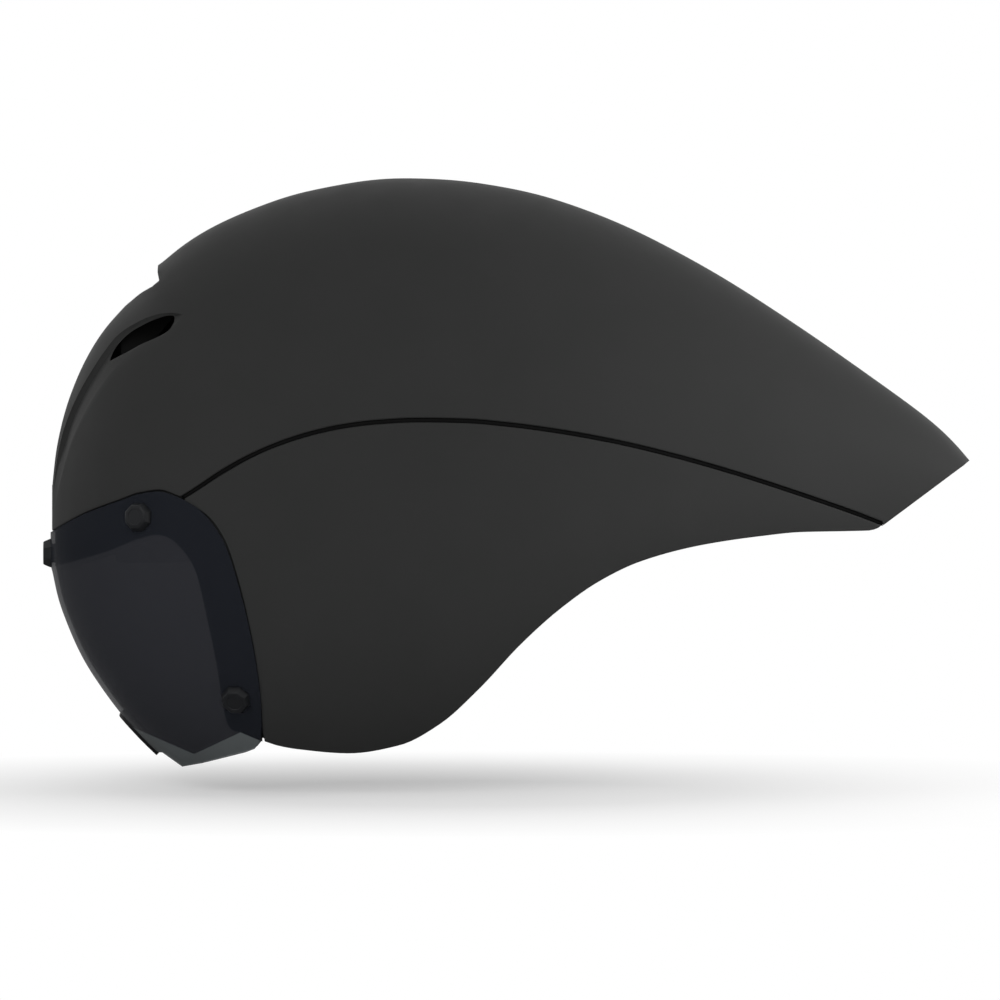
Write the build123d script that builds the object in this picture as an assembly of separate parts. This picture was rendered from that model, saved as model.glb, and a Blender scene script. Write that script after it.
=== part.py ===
"""Aero time trial helmet: long-tailed shell, side covers, foam liner, magnetic lens and fit system.

Millimetres. The helmet faces -X, +Z is up and Y = 0 is its plane of symmetry. The rider's left
is -Y. The origin is the middle of the head opening, at the height of the brow rim.
"""
from build123d import *
import math
import os
import numpy as np

# Overall sizes. The side view's outlines are given in photo pixels, and these sizes scale them.
overall_length = 361.5
overall_height = 229.3
half_width = 99.0
front_pixel = 43.0
tail_pixel = 970.0
crown_pixel = 178.0
hem_pixel = 766.0
origin_pixel_x = 380.0
origin_pixel_y = 575.0
x_scale = overall_length / (tail_pixel - front_pixel)
z_scale = overall_height / (hem_pixel - crown_pixel)
overrun = 60.0
seat_gap = 0.3

# The outer form: lines of the side view in photo pixels, and plan widths as shares of the half width.
brow_pixel = 52.5
form_end_pixel = 990.0
crown_line_pixels = [(52.5, 485), (54, 470), (56, 452), (60, 432), (64, 415), (72, 391), (84, 363),
                     (104, 330), (130, 301), (163, 262), (200, 234), (250, 210), (308, 191), (400, 178),
                     (440, 179), (520, 190), (600, 215), (700, 264), (800, 327), (880, 383), (990, 474)]
keel_line_pixels = [(52.5, 568), (54, 574), (59, 598), (67, 622), (83, 658), (106, 694), (123, 718),
                    (146, 742), (166, 760), (200, 783), (260, 803), (340, 808), (420, 795), (500, 755),
                    (560, 710), (640, 650), (720, 612), (820, 588), (900, 575), (990, 560)]
waist_line_pixels = [(52.5, 530), (141, 552), (240, 570), (340, 575), (440, 560), (560, 525),
                     (700, 490), (850, 476), (990, 492)]
plan_width_shares = [(52.5, 0.08), (54, 0.14), (58, 0.235), (66, 0.355), (80, 0.5), (104, 0.672),
                     (140, 0.805), (190, 0.89), (260, 0.952), (340, 0.992), (420, 1.0), (520, 0.95),
                     (620, 0.83), (720, 0.66), (820, 0.477), (900, 0.34), (990, 0.2)]
crown_power = 2.2
keel_power = 2.3
form_rings = 22
ring_points = 24
line_steps = 600

# Outlines on the side view, in photo pixels.
brow_edge_pixels = [(54, 570), (100, 557), (150, 538)]
groove_pixels = [(150, 538), (165, 515), (185, 497), (224, 475), (255, 458), (300, 437), (363, 422.5),
                 (432, 419.5), (514, 426), (600, 439), (661, 453.5), (728, 474), (804, 499), (879, 524)]
cover_hem_pixels = [(860, 531), (800, 532), (760, 536), (700, 545), (640, 561), (600, 580), (560, 608),
                    (520, 644), (480, 687), (440, 723), (400, 744), (350, 752), (300, 748), (263, 738)]
cover_front_pixels = [(263, 738), (240, 729), (228, 712), (216, 654), (208, 615), (197, 568),
                      (184, 550), (164, 543), (150, 544)]
tail_tip_pixel = (970, 459)
tail_corner_pixel = (881, 525)
lens_edge_pixels = [(51, 533), (87, 514), (122, 501), (142, 494), (161, 491.5), (181, 498), (210, 518),
                    (226, 542), (242, 590), (251, 627), (258, 664), (262.5, 701), (264, 728),
                    (260, 743), (247, 751), (204, 762), (183, 766)]
lens_lobe_pixel = (163, 752)
window_top_pixels = [(53, 567), (81, 560), (112, 550), (132, 542), (163, 535), (187, 552)]
window_rear_pixels = [(187, 552), (202, 588), (210, 621), (216, 654), (222, 686), (226, 711), (233, 730)]
window_foot_pixels = [(233, 730), (195.5, 753), (167, 741)]
vent_pixels = [(113, 360), (120, 343), (134, 332), (151, 323), (163, 318.6), (174, 316.5), (176.5, 322),
               (171, 331), (163, 337), (141, 347), (124, 356)]
channel_ridge_pixels = [(112, 350), (87, 379), (73, 409), (63, 436), (57, 462)]
channel_outer_pixels = [(57, 495), (62, 475), (71, 448), (85, 420), (102, 391), (118, 370), (132, 357)]
notch_pixels = [(131, 301), (160, 280), (158, 265.5), (140, 225), (100, 290)]
duct_pixels = [(150, 250), (157, 284.5), (170, 287), (206, 275), (206, 225)]
foam_duct_pixels = [(146, 266), (156, 286), (240, 292), (262, 262), (206, 241)]
liner_hem_pixels = [(56, 564), (100, 551), (150, 532), (200, 540), (300, 556), (420, 566), (520, 572),
                    (600, 566), (660, 546), (740, 520), (800, 505)]

# Walls and steps of the shell, the lens and the liner, measured inward from the outer form.
shell_wall = 2.2
lens_proud = 0.6
lens_inside = 1.2
band_inside = 1.6
flange_outside = 1.9
flange_inside = 4.2
flange_lap = 3.0
groove_width = 1.8
seal_top = 0.7
lens_gap = 0.6
channel_depth = 0.9
channel_start = 12.0
vent_start = 15.0

# Crown intake: a forward-facing scoop on a local thickening of the shell.
intake_half_width = 30.0
intake_duct_half_width = 27.0
intake_pad_half_width = 33.0
intake_pad_depth = 12.0
intake_pad_front_pixel = 122.0
intake_pad_rear_pixel = 200.0
intake_pad_floor = 60.0

# Head cavity in the liner: an elliptic well under half an ellipsoid.
head_half_length = 104.0
head_half_width = 80.0
dome_height = 47.0
dome_rings = 7
air_duct_radius = 6.0
air_duct_side = 42.0
air_duct_height = 93.0
air_duct_front = 96.0
air_duct_length = 60.0

# Magnetic studs: where they sit on the side view, in photo pixels, and their sizes.
front_stud_pixel_y = 553.0
upper_stud_pixel = (141, 517)
lower_stud_pixel = (237.6, 698)
stud_radius = 6.0
stud_face_radius = 4.7
stud_height = 3.0
stud_sides = 8
shank_radius = 4.0
shank_clearance = 0.1
stud_magnet_radius = 3.0
stud_magnet_depth = 2.0
seat_boss_radius = 6.4
seat_boss_depth = 4.6
seat_magnet_radius = 4.0
seat_magnet_depth = 3.0
seat_sink = 0.8
press_clearance = 0.05

# Nose notch of the lens, seen from the front, and its rubber bridge.
nose_half_width = 10.5
nose_top_pixel_y = 713.0
nose_spread = 7.0
bridge_band = 2.2
bridge_proud = 1.6
bridge_inside = 2.8

# Pins that hold the side covers to the liner.
pin_pixels = [(255, 476), (440, 442), (610, 460)]
pin_radius = 2.5
pin_length = 12.0
pin_head_radius = 4.0
pin_head_depth = 1.5
pin_clearance = 0.1

# Comfort pads.
pad_thickness = 7.0
brow_pad_low = 4.0
brow_pad_high = 30.0
brow_pad_reach = 62.0
side_pad_half_length = 26.0
side_pad_low = 24.0
side_pad_high = 46.0
crown_pad_half_width = 11.0
crown_pad_half_length = 58.0
crown_pad_floor = 100.0
ear_pad_thickness = 6.5
ear_pad_pixels = [(300, 622), (420, 622), (440, 660), (425, 700), (390, 722), (335, 726), (306, 700)]

# Fit system: cradle, dial and bands behind the head.
cradle_half_length = 97.0
cradle_half_width = 73.0
cradle_wall = 2.4
cradle_low = 6.0
cradle_high = 34.0
cradle_reach = 84.0
cradle_pad_thickness = 4.0
cradle_pad_margin = 4.0
cradle_pad_half_width = 30.0
pocket_front = 66.0
pocket_half_width = 52.0
pocket_top = 44.0
pocket_depth = 32.0
hub_half_width = 24.0
hub_depth = 8.0
hub_half_height = 12.0
fit_height = 20.0
rack_height = 5.0
rack_thickness = 2.0
rack_inner = 14.0
rack_clearance = 0.3
rack_back_gap = 3.0
teeth = 10
pinion_radius = 4.0
tooth_top = 0.7
tooth_root = 0.9
tooth_width = 0.9
shaft_radius = 2.0
shaft_clearance = 0.08
dial_radius = 13.0
dial_thickness = 8.0
dial_gap = 0.6
dial_grips = 12
dial_grip_radius = 1.6
screw_radius = 1.0
screw_length = 5.0
screw_head_radius = 3.2
screw_head_depth = 1.4
clip_thickness = 3.0
clip_low_side = 18.0
clip_high_side = 28.0
clip_reach = 11.0
band_half_length = 100.0
band_half_width = 76.0
band_wall = 1.4
band_low = 8.0
band_high = 20.0
band_front = 40.0
elbow_side = 40.0
elbow_wall = 2.0
temple_pin_x = -34.0
temple_pin_radius = 1.5
temple_pin_inner = 64.0
temple_pin_outer = 90.0
temple_head_radius = 3.5
temple_head_thickness = 1.5
temple_hole_clearance = 0.4

# Straps: flat webbing, dividers with cam levers, and a buckle, tucked up in the head opening.
web_width = 15.0
web_thickness = 1.2
front_anchor = (-48.0, -8.0)
rear_anchor = (52.0, -6.0)
anchor_gap = 3.8
anchor_tab = 14.0
rivet_drop = 6.0
rivet_radius = 2.0
rivet_head_radius = 4.5
rivet_head_thickness = 1.2
divider_x = -3.0
divider_y = 52.0
divider_z = -45.5
divider_length = 36.0
divider_depth = 5.0
divider_height = 17.0
divider_bite = 4.0
strap_spread = 9.5
slot_clearance = 0.3
cam_width = 18.0
cam_reach = 9.0
cam_thickness = 2.4
cam_gap = 0.4
cam_drop = 1.5
cam_pin_radius = 1.0
cam_pin_clearance = 0.08
cam_lug = 2.6
cam_lug_gap = 0.4
chin_z = -50.0
socket_end_y = -32.0
socket_mouth_y = -2.0
socket_width = 24.0
socket_height = 9.0
blade_length = 12.0
blade_width = 16.0
blade_thickness = 2.4
blade_clearance = 0.3
tongue_base = 3.2
tongue_bar_y = 9.0
tongue_bar = 3.0
tongue_rail = 2.5
loop_end_y = 20.0
chin_tail_y = 56.0
chin_pad_start = 21.0
chin_pad_length = 12.0
chin_pad_thickness = 3.0
keeper_y = -38.0
keeper_length = 4.0
keeper_wall = 1.2


def smooth(knots, at):
    """Shape-preserving cubic through the knots, so that no line overshoots its points."""
    table = np.asarray(knots, float)
    x, y = table[:, 0], table[:, 1]
    step = np.diff(x)
    slope = np.diff(y) / step
    rate = np.zeros_like(y)
    rate[0], rate[-1] = slope[0], slope[-1]
    for k in range(1, len(x) - 1):
        if slope[k - 1] * slope[k] > 0:
            before, after = 2 * step[k] + step[k - 1], step[k] + 2 * step[k - 1]
            rate[k] = (before + after) / (before / slope[k - 1] + after / slope[k])
    k = np.clip(np.searchsorted(x, at) - 1, 0, len(x) - 2)
    t = (at - x[k]) / step[k]
    start = (1 + 2 * t) * (1 - t) ** 2 * y[k] + t * (1 - t) ** 2 * step[k] * rate[k]
    end = t ** 2 * (3 - 2 * t) * y[k + 1] + t ** 2 * (t - 1) * step[k] * rate[k + 1]
    return start + end


def side(pixel_x, pixel_y):
    """Real x and z of a place on the side view."""
    return (pixel_x - origin_pixel_x) * x_scale, (origin_pixel_y - pixel_y) * z_scale


along_pixels = brow_pixel + (form_end_pixel - brow_pixel) * np.linspace(0, 1, line_steps) ** 2
crown_line = side(along_pixels, smooth(crown_line_pixels, along_pixels))
keel_line = side(along_pixels, smooth(keel_line_pixels, along_pixels))
waist_line = side(along_pixels, smooth(waist_line_pixels, along_pixels))
plan_line = (crown_line[0], half_width * smooth(plan_width_shares, along_pixels))
brow_x = crown_line[0][0]
form_end_x = crown_line[0][-1]
tail_x = side(*tail_tip_pixel)[0]


def inset_line(line, inset, inward):
    """A line moved along its own normals, inward from the form by the inset."""
    x, y = line
    run, rise = np.gradient(x), np.gradient(y)
    size = np.hypot(run, rise)
    return x + inward * inset * rise / size, y - inward * inset * run / size


def form_lines(inset):
    """Crown, keel and plan lines of the form at an inset."""
    return inset_line(crown_line, inset, 1), inset_line(keel_line, inset, -1), inset_line(plan_line, inset, 1)


def ring(x, lines):
    """Closed cross-section of the form at x: a superellipse above and below the waist."""
    crown, keel, plan = (float(np.interp(x, *line)) for line in lines)
    waist = float(np.interp(x, *waist_line))
    points = []
    for k in range(ring_points):
        turn = 2 * math.pi * k / ring_points - math.pi / 2
        upper = 2 * k < ring_points
        power = crown_power if upper else keel_power
        reach = crown - waist if upper else waist - keel
        across = math.copysign(abs(math.sin(turn)) ** (2 / power), math.sin(turn))
        up = math.copysign(abs(math.cos(turn)) ** (2 / power), math.cos(turn))
        points.append(Vector(x, plan * across, waist + reach * up))
    shares = [k / ring_points for k in range(ring_points + 1)]
    return Wire([Edge.make_spline(points, periodic=True, parameters=shares)])


def form(inset):
    """Right half of the helmet's outer form, inset by a distance."""
    lines = form_lines(inset)
    start = brow_x + inset
    span = form_end_x - start
    rings = [ring(start + span * (k / (form_rings - 1)) ** 2, lines) for k in range(form_rings)]
    right_side = block(start - overrun, form_end_x + overrun, 0, half_width + overrun, -overall_height, overall_height)
    return Solid.make_loft(rings) & right_side


def form_side(x, z, inset):
    """Half width of the form at a place on the side view."""
    crown, keel, plan = (float(np.interp(x, *line)) for line in form_lines(inset))
    waist = float(np.interp(x, *waist_line))
    power = crown_power if z > waist else keel_power
    reach = crown - waist if z > waist else waist - keel
    return plan * max(1 - (abs(z - waist) / reach) ** power, 0) ** (1 / power)


def form_plane(pixel, hand, inset):
    """Plane on the form's side with its normal outward, on the side of the given hand."""
    x, z = side(*pixel)
    probe = shell_wall
    slope_x = (form_side(x + probe, z, inset) - form_side(x - probe, z, inset)) / (2 * probe)
    slope_z = (form_side(x, z + probe, inset) - form_side(x, z - probe, inset)) / (2 * probe)
    return Plane((x, hand * form_side(x, z, inset), z), x_dir=(1, hand * slope_x, 0), z_dir=(-slope_x, hand, -slope_z))


def side_points(pixels, lift=0.0):
    """Points on the plane of symmetry, lifted by a distance."""
    return [Vector(side(*pixel)[0], 0, side(*pixel)[1] + lift) for pixel in pixels]


def grown_points(points, growth, closed=False):
    """Points of an outline moved along its own normals, to its left-hand side."""
    ends = list(zip(points[-1:] + points[:-1], points[1:] + points[:1]))
    if not closed:
        ends[0] = (points[0], points[1])
        ends[-1] = (points[-2], points[-1])
    moved = []
    for point, (before, after) in zip(points, ends):
        heading = (after - before).normalized()
        moved.append(point + Vector(-heading.Z, 0, heading.X) * growth)
    return moved


def side_curve(pixels, lift=0.0):
    return Edge.make_spline(side_points(pixels, lift))


def joined_face(edges):
    """Face inside a run of edges, with straight lines across its open steps."""
    closed = []
    for edge, following in zip(edges, edges[1:] + edges[:1]):
        closed.append(edge)
        if (edge @ 1 - following @ 0).length > seat_gap / 10:
            closed.append(Edge.make_line(edge @ 1, following @ 0))
    return Face(Wire(closed))


def both_ways(face, reach):
    """Solid through the helmet, from a face on its plane of symmetry."""
    return extrude(Pos(0, -reach, 0) * face, amount=2 * reach, dir=(0, 1, 0))


def block(x_low, x_high, y_low, y_high, z_low, z_high):
    """Box between two corners."""
    size = (x_high - x_low, y_high - y_low, z_high - z_low)
    middle = ((x_high + x_low) / 2, (y_high + y_low) / 2, (z_high + z_low) / 2)
    return Pos(*middle) * Box(*size)


def polygon_through(pixels, reach):
    return both_ways(Face(Wire.make_polygon(side_points(pixels), close=True)), reach)


def upper_outline(lift):
    """Side outline of the upper shell: over its brow edge, the groove and the slanted tail."""
    tip_x, tip_z = side(*tail_tip_pixel)
    corner_x, corner_z = side(*tail_corner_pixel)
    slope = (tip_z - corner_z) / (tip_x - corner_x)
    far_x = tip_x + overrun
    far = Vector(far_x, 0, tip_z + slope * overrun)
    roof = crown_line[1].max() + overrun
    brow = side_curve(brow_edge_pixels, lift)
    groove = side_curve(groove_pixels, lift)
    start = Vector(brow_x - overrun, 0, (brow @ 0).Z)
    corner = Vector(corner_x, 0, corner_z + lift)
    rest = Wire.make_polygon([corner, far, Vector(far_x, 0, roof), Vector(start.X, 0, roof), start], close=False)
    return joined_face([brow, groove] + list(rest.edges()))


def cover_outline(drop):
    """Side outline of a lower cover: under the groove, round its hem and along the eye port."""
    groove = side_curve(groove_pixels, -drop)
    hem = side_curve(cover_hem_pixels)
    front = side_curve(cover_front_pixels)
    return joined_face([groove, hem, front])


def lens_outline(growth):
    """Side outline of the lens, open to the front, grown all round."""
    edge = Edge.make_spline(grown_points(side_points(lens_edge_pixels), growth))
    lobe = side_points([lens_lobe_pixel])[0] - Vector(0, 0, growth)
    front_x = brow_x - overrun
    rest = Wire.make_polygon([lobe, Vector(front_x, 0, lobe.Z), Vector(front_x, 0, (edge @ 0).Z)], close=False)
    return joined_face([edge] + list(rest.edges()))


def window_outline():
    """Side outline of the clear window inside the dark band."""
    top = side_curve(window_top_pixels)
    foot = Wire.make_polygon(side_points(window_foot_pixels), close=False)
    foot_end = foot.edges()[-1] @ 1
    front_x = brow_x - overrun
    rest = Wire.make_polygon([Vector(front_x, 0, foot_end.Z), Vector(front_x, 0, (top @ 0).Z)], close=False)
    return joined_face([top, side_curve(window_rear_pixels)] + list(foot.edges()) + list(rest.edges()))


def head_well(clearance):
    """The head cavity, drawn in by a clearance: half an ellipsoid over an elliptic well."""
    length, width = head_half_length - clearance, head_half_width - clearance
    rings = []
    for k in range(dome_rings):
        turn = math.pi / 2 * k / dome_rings
        rings.append(Pos(0, 0, width * math.sin(turn)) * Ellipse(length * math.cos(turn), width * math.cos(turn)))
    depth = dome_height + overall_height / 2
    well = extrude(Ellipse(length, width), amount=-depth)
    return Pos(0, 0, dome_height) * (loft(rings + [Vertex(0, 0, width)]) + well)


def intake_block(depth, growth):
    """Local thickening of the shell round the crown intake."""
    x_low = side(intake_pad_front_pixel, crown_pixel)[0] - growth
    x_high = side(intake_pad_rear_pixel, crown_pixel)[0] + growth
    reach = intake_pad_half_width + growth
    shell_box = block(x_low, x_high, -reach, reach, intake_pad_floor - growth, overall_height)
    return (outer & shell_box) - form(depth)


def stud_planes(inset):
    """Planes of the five studs on the form at an inset: front, upper pair, lower pair."""
    front_x = brow_x + inset
    front = Plane((front_x, 0, side(0, front_stud_pixel_y)[1]), x_dir=(0, 1, 0), z_dir=(-1, 0, 0))
    pairs = [form_plane(pixel, hand, inset) for pixel in (upper_stud_pixel, lower_stud_pixel) for hand in (-1, 1)]
    return [front] + pairs


def seat_bosses(clearance=0.0):
    """Bosses behind the lens that hold the magnets."""
    depth = seat_boss_depth + clearance
    return [plane * Pos(0, 0, -depth / 2) * Cylinder(seat_boss_radius + clearance, depth) for plane in seats]


def magnet_pockets():
    """Pockets in the bosses for the magnets, open towards the lens."""
    depth, mouth = seat_magnet_depth + press_clearance, seat_sink + flange_outside
    pocket = Pos(0, 0, (mouth - depth) / 2) * Cylinder(seat_magnet_radius + press_clearance, mouth + depth)
    return [plane * pocket for plane in seats]


def shank_holes():
    """Holes through the right half of the lens and its band for the stud shanks."""
    planes = stud_planes(-lens_proud)
    hole = Pos(0, 0, -stud_height / 2) * Cylinder(shank_radius + shank_clearance, 2 * stud_height)
    return [planes[number] * hole for number in (0, 2, 4)]


def nose_arch(growth):
    """Nose notch through the lens, seen from the front, shrunk by a growth below zero."""
    top = side(0, nose_top_pixel_y)[1] + growth
    low = side(0, hem_pixel)[1] - overrun
    radius = nose_half_width + growth
    spread = nose_spread * (top - low) / overrun
    crown = CenterArc((0, top - radius), radius, 0, 180)
    left_foot, right_foot = (-radius - spread, low), (radius + spread, low)
    arch = make_face([crown, Line(crown @ 1, left_foot), Line(left_foot, right_foot), Line(right_foot, crown @ 0)])
    length = abs(brow_x) + overrun
    return Plane.YZ * Pos(0, 0, -length) * extrude(arch, amount=length)


def whole(half):
    """Both halves of a piece that crosses the plane of symmetry."""
    return half + mirror(half, Plane.XZ)


def left_and_right(half):
    """A right-hand piece and its mirror image, left first."""
    return mirror(half, Plane.XZ), half


def largest(shape):
    return sorted(shape.solids(), key=lambda solid: solid.volume)[-1]


def through(face):
    return both_ways(face, half_width + overrun)


def lens_zone(growth):
    return through(lens_outline(growth))


def shell_skin(prism):
    """Right half of a shell piece inside its side outline: skin, and the flange behind the lens."""
    skin = ((outer & prism) - inner) - lens_zone(lens_gap)
    flange = (flange_outer & prism & lens_zone(flange_lap)) - flange_inner
    return skin + flange


def side_vent(growth):
    """Side vent slot of the right side."""
    points = grown_points(side_points(vent_pixels), growth, closed=True)
    face = Face(Wire([Edge.make_spline(points, periodic=True)]))
    return extrude(Pos(0, vent_start, 0) * face, amount=half_width, dir=(0, 1, 0))


def channel():
    """Shallow channel from the right side vent down to the brow."""
    face = joined_face([side_curve(channel_ridge_pixels), side_curve(channel_outer_pixels)])
    layer = form(-lens_proud) - form(channel_depth)
    return layer & extrude(Pos(0, channel_start, 0) * face, amount=half_width, dir=(0, 1, 0))


def air_duct():
    """Round duct in the foam, from behind the side vent back into the head cavity."""
    middle = air_duct_length / 2 - air_duct_front
    return Pos(middle, air_duct_side, air_duct_height) * Rot(0, 90, 0) * Cylinder(air_duct_radius, air_duct_length)


def upper_shell():
    shell = shell_skin(through(upper_outline(groove_width / 2)))
    shell = shell + intake_block(intake_pad_depth, 0)
    shell = shell - polygon_through(notch_pixels, intake_half_width)
    shell = shell - (polygon_through(duct_pixels, intake_duct_half_width) & inner)
    shell = shell - side_vent(0) - channel()
    for number in (0, 2):
        shell = shell + (seat_bosses()[number] & flange_outer) - magnet_pockets()[number]
    return whole(largest(shell))


def side_cover():
    """Right lower cover."""
    cover = shell_skin(through(cover_outline(groove_width / 2)))
    cover = cover + (seat_bosses()[4] & flange_outer) - magnet_pockets()[4]
    for plane in pin_planes(1):
        cover = cover - pin(plane, pin_clearance)
    return largest(cover)


def pin_planes(hand):
    return [form_plane(pixel, hand, seal_top) for pixel in pin_pixels]


def pin(plane, clearance):
    """Push pin with its length measured into the helmet."""
    return plane * Pos(0, 0, -pin_length / 2) * Cylinder(pin_radius + clearance, pin_length + 2 * clearance)


def cover_push_pins():
    """Push pins from the covers into the foam, three a side."""
    return Compound([pin(plane, 0) for plane in pin_planes(-1) + pin_planes(1)])


def seam_seal():
    """Right seal, lying in the groove between the shell and the cover."""
    reach = groove_width / 2 - press_clearance
    lower = Edge.make_spline(side_points(groove_pixels, -reach)[::-1])
    band = through(joined_face([side_curve(groove_pixels, reach), lower]))
    return largest((form(seal_top) & band) - inner - lens_zone(lens_gap))


def foam_liner():
    hem = side_curve(liner_hem_pixels)
    tail_corner = hem @ 1
    roof = crown_line[1].max() + overrun
    front_x = brow_x - overrun
    rest = Wire.make_polygon([tail_corner, Vector(tail_corner.X, 0, roof), Vector(front_x, 0, roof),
                              Vector(front_x, 0, (hem @ 0).Z)], close=False)
    foam = form(shell_wall + seat_gap) & through(joined_face([hem] + list(rest.edges())))
    foam = foam - ((lens_zone(flange_lap + seat_gap) & outer) - form(flange_inside + seat_gap))
    foam = foam - head_well(0) - intake_block(intake_pad_depth + seat_gap, seat_gap)
    foam = foam - polygon_through(foam_duct_pixels, intake_duct_half_width)
    foam = foam - side_vent(seat_gap) - air_duct()
    for number in (0, 2):
        foam = foam - seat_bosses(seat_gap)[number]
    foam = foam - block(pocket_front, head_half_length + pocket_depth, -pocket_half_width, pocket_half_width,
                        -overrun, pocket_top)
    for plane in pin_planes(1):
        foam = foam - pin(plane, pin_clearance)
    bore = temple_bore(temple_pin_radius + pin_clearance)
    return whole(largest(foam - bore))


def shell_magnets():
    disc = Pos(0, 0, -seat_magnet_depth / 2) * Cylinder(seat_magnet_radius, seat_magnet_depth)
    return Compound([plane * disc for plane in seats])


def goggle_lens():
    lens = (form(-lens_proud) & lens_zone(0)) - form(lens_inside) - nose_arch(0)
    for hole in shank_holes():
        lens = lens - hole
    return whole(largest(lens))


def lens_border_band():
    band = (form(lens_inside) & lens_zone(0)) - form(band_inside) - through(window_outline()) - nose_arch(0)
    for hole in shank_holes():
        band = band - hole
    return whole(largest(band))


def lens_studs():
    """Faceted caps with the shanks that pass through the lens."""
    studs = []
    shank = lens_proud + flange_outside - seat_gap
    for plane in stud_planes(-lens_proud):
        foot = RegularPolygon(stud_radius, stud_sides)
        face = Pos(0, 0, stud_height) * RegularPolygon(stud_face_radius, stud_sides)
        cap = loft([foot, face]) + Pos(0, 0, -shank / 2) * Cylinder(shank_radius, shank)
        pocket = Pos(0, 0, stud_magnet_depth / 2 - shank) * Cylinder(stud_magnet_radius + press_clearance, stud_magnet_depth)
        studs.append(plane * (cap - pocket))
    return Compound(studs)


def stud_magnets():
    shank = lens_proud + flange_outside - seat_gap
    disc = Pos(0, 0, stud_magnet_depth / 2 - shank) * Cylinder(stud_magnet_radius, stud_magnet_depth)
    return Compound([plane * disc for plane in stud_planes(-lens_proud)])


def nose_bridge():
    """Rubber edge round the nose notch."""
    strip = (form(-bridge_proud) & (nose_arch(-press_clearance) - nose_arch(-bridge_band))) - form(bridge_inside)
    foot = side(0, lens_lobe_pixel[1])[1]
    strip = strip & block(brow_x - overrun, 0, 0, half_width, foot, 0)
    return whole(largest(strip))


def well_layer(thickness):
    """Layer of padding on the wall of the head cavity."""
    return head_well(seat_gap) - head_well(seat_gap + thickness)


def brow_pad():
    room = block(-half_width - overrun, -brow_pad_reach, -half_width, half_width, brow_pad_low, brow_pad_high)
    return largest(well_layer(pad_thickness) & room)


def crown_pad():
    room = block(-crown_pad_half_length, crown_pad_half_length, -crown_pad_half_width, crown_pad_half_width,
                 crown_pad_floor, overall_height)
    return largest(well_layer(pad_thickness) & room)


def side_pad():
    room = block(-side_pad_half_length, side_pad_half_length, 0, half_width, side_pad_low, side_pad_high)
    return largest(well_layer(pad_thickness) & room)


def ear_pad():
    points = side_points(ear_pad_pixels)
    prism = through(Face(Wire([Edge.make_spline(points, periodic=True)])))
    pad = (form(shell_wall + seat_gap) & prism) - form(shell_wall + seat_gap + ear_pad_thickness)
    return largest(pad)


def oval_wall(length, width, wall, low, high):
    """Upright elliptic wall round the head, between two heights."""
    room = extrude(Ellipse(length, width), amount=high - low)
    return Pos(0, 0, low) * (room - extrude(Ellipse(length - wall, width - wall), amount=high - low))


hub_back = cradle_half_length + hub_depth
rack_x = hub_back - rack_back_gap - rack_thickness


def fit_cradle():
    """Cradle behind the head with the hub that the racks run through."""
    wall = oval_wall(cradle_half_length, cradle_half_width, cradle_wall, cradle_low, cradle_high)
    wall = wall & block(cradle_reach, hub_back, -half_width, half_width, cradle_low, cradle_high)
    hub = block(cradle_reach, hub_back, -hub_half_width, hub_half_width,
                fit_height - hub_half_height, fit_height + hub_half_height)
    core = extrude(Ellipse(cradle_half_length - cradle_wall, cradle_half_width - cradle_wall), amount=pocket_top)
    reach = pinion_radius + rack_height + rack_clearance
    tunnel = block(rack_x - rack_clearance, rack_x + rack_thickness + rack_clearance, -half_width, half_width,
                   fit_height - reach, fit_height + reach)
    bore = Pos(hub_back, 0, fit_height) * Rot(0, 90, 0) * Cylinder(shaft_radius + shaft_clearance, 2 * hub_depth)
    return (wall + (hub - core)) - tunnel - bore


def cradle_clips():
    """Two hooks that hang the cradle from the foam."""
    hooks = []
    for hand in (-1, 1):
        sides = sorted((hand * clip_low_side, hand * clip_high_side))
        foot = block(cradle_half_length - clip_thickness * 2, cradle_half_length + clip_reach, *sides,
                     cradle_high, cradle_high + clip_thickness)
        back = block(cradle_half_length + clip_reach - clip_thickness, cradle_half_length + clip_reach, *sides,
                     cradle_high + clip_thickness, pocket_top)
        hooks.append(foot + back)
    return Compound(hooks)


def cradle_pad():
    length, width = cradle_half_length - cradle_wall - seat_gap, cradle_half_width - cradle_wall - seat_gap
    low, high = cradle_low + cradle_pad_margin, cradle_high - cradle_pad_margin
    wall = oval_wall(length, width, cradle_pad_thickness, low, high)
    return largest(wall & block(0, length, -cradle_pad_half_width, cradle_pad_half_width, low, high))


def rack_teeth(direction):
    """Row of rack teeth about y = 0, pointing up or down from the rack's edge."""
    pitch = 2 * math.pi * pinion_radius / teeth
    tall = tooth_root + tooth_top
    row = []
    for k in range(-3, 3):
        middle = (k + 1 / 2) * pitch
        row.append(Pos(rack_x + rack_thickness / 2, middle, fit_height + direction * (pinion_radius + (tall - 2 * tooth_top) / 2))
                   * Box(rack_thickness, tooth_width, tall))
    return row


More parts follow.
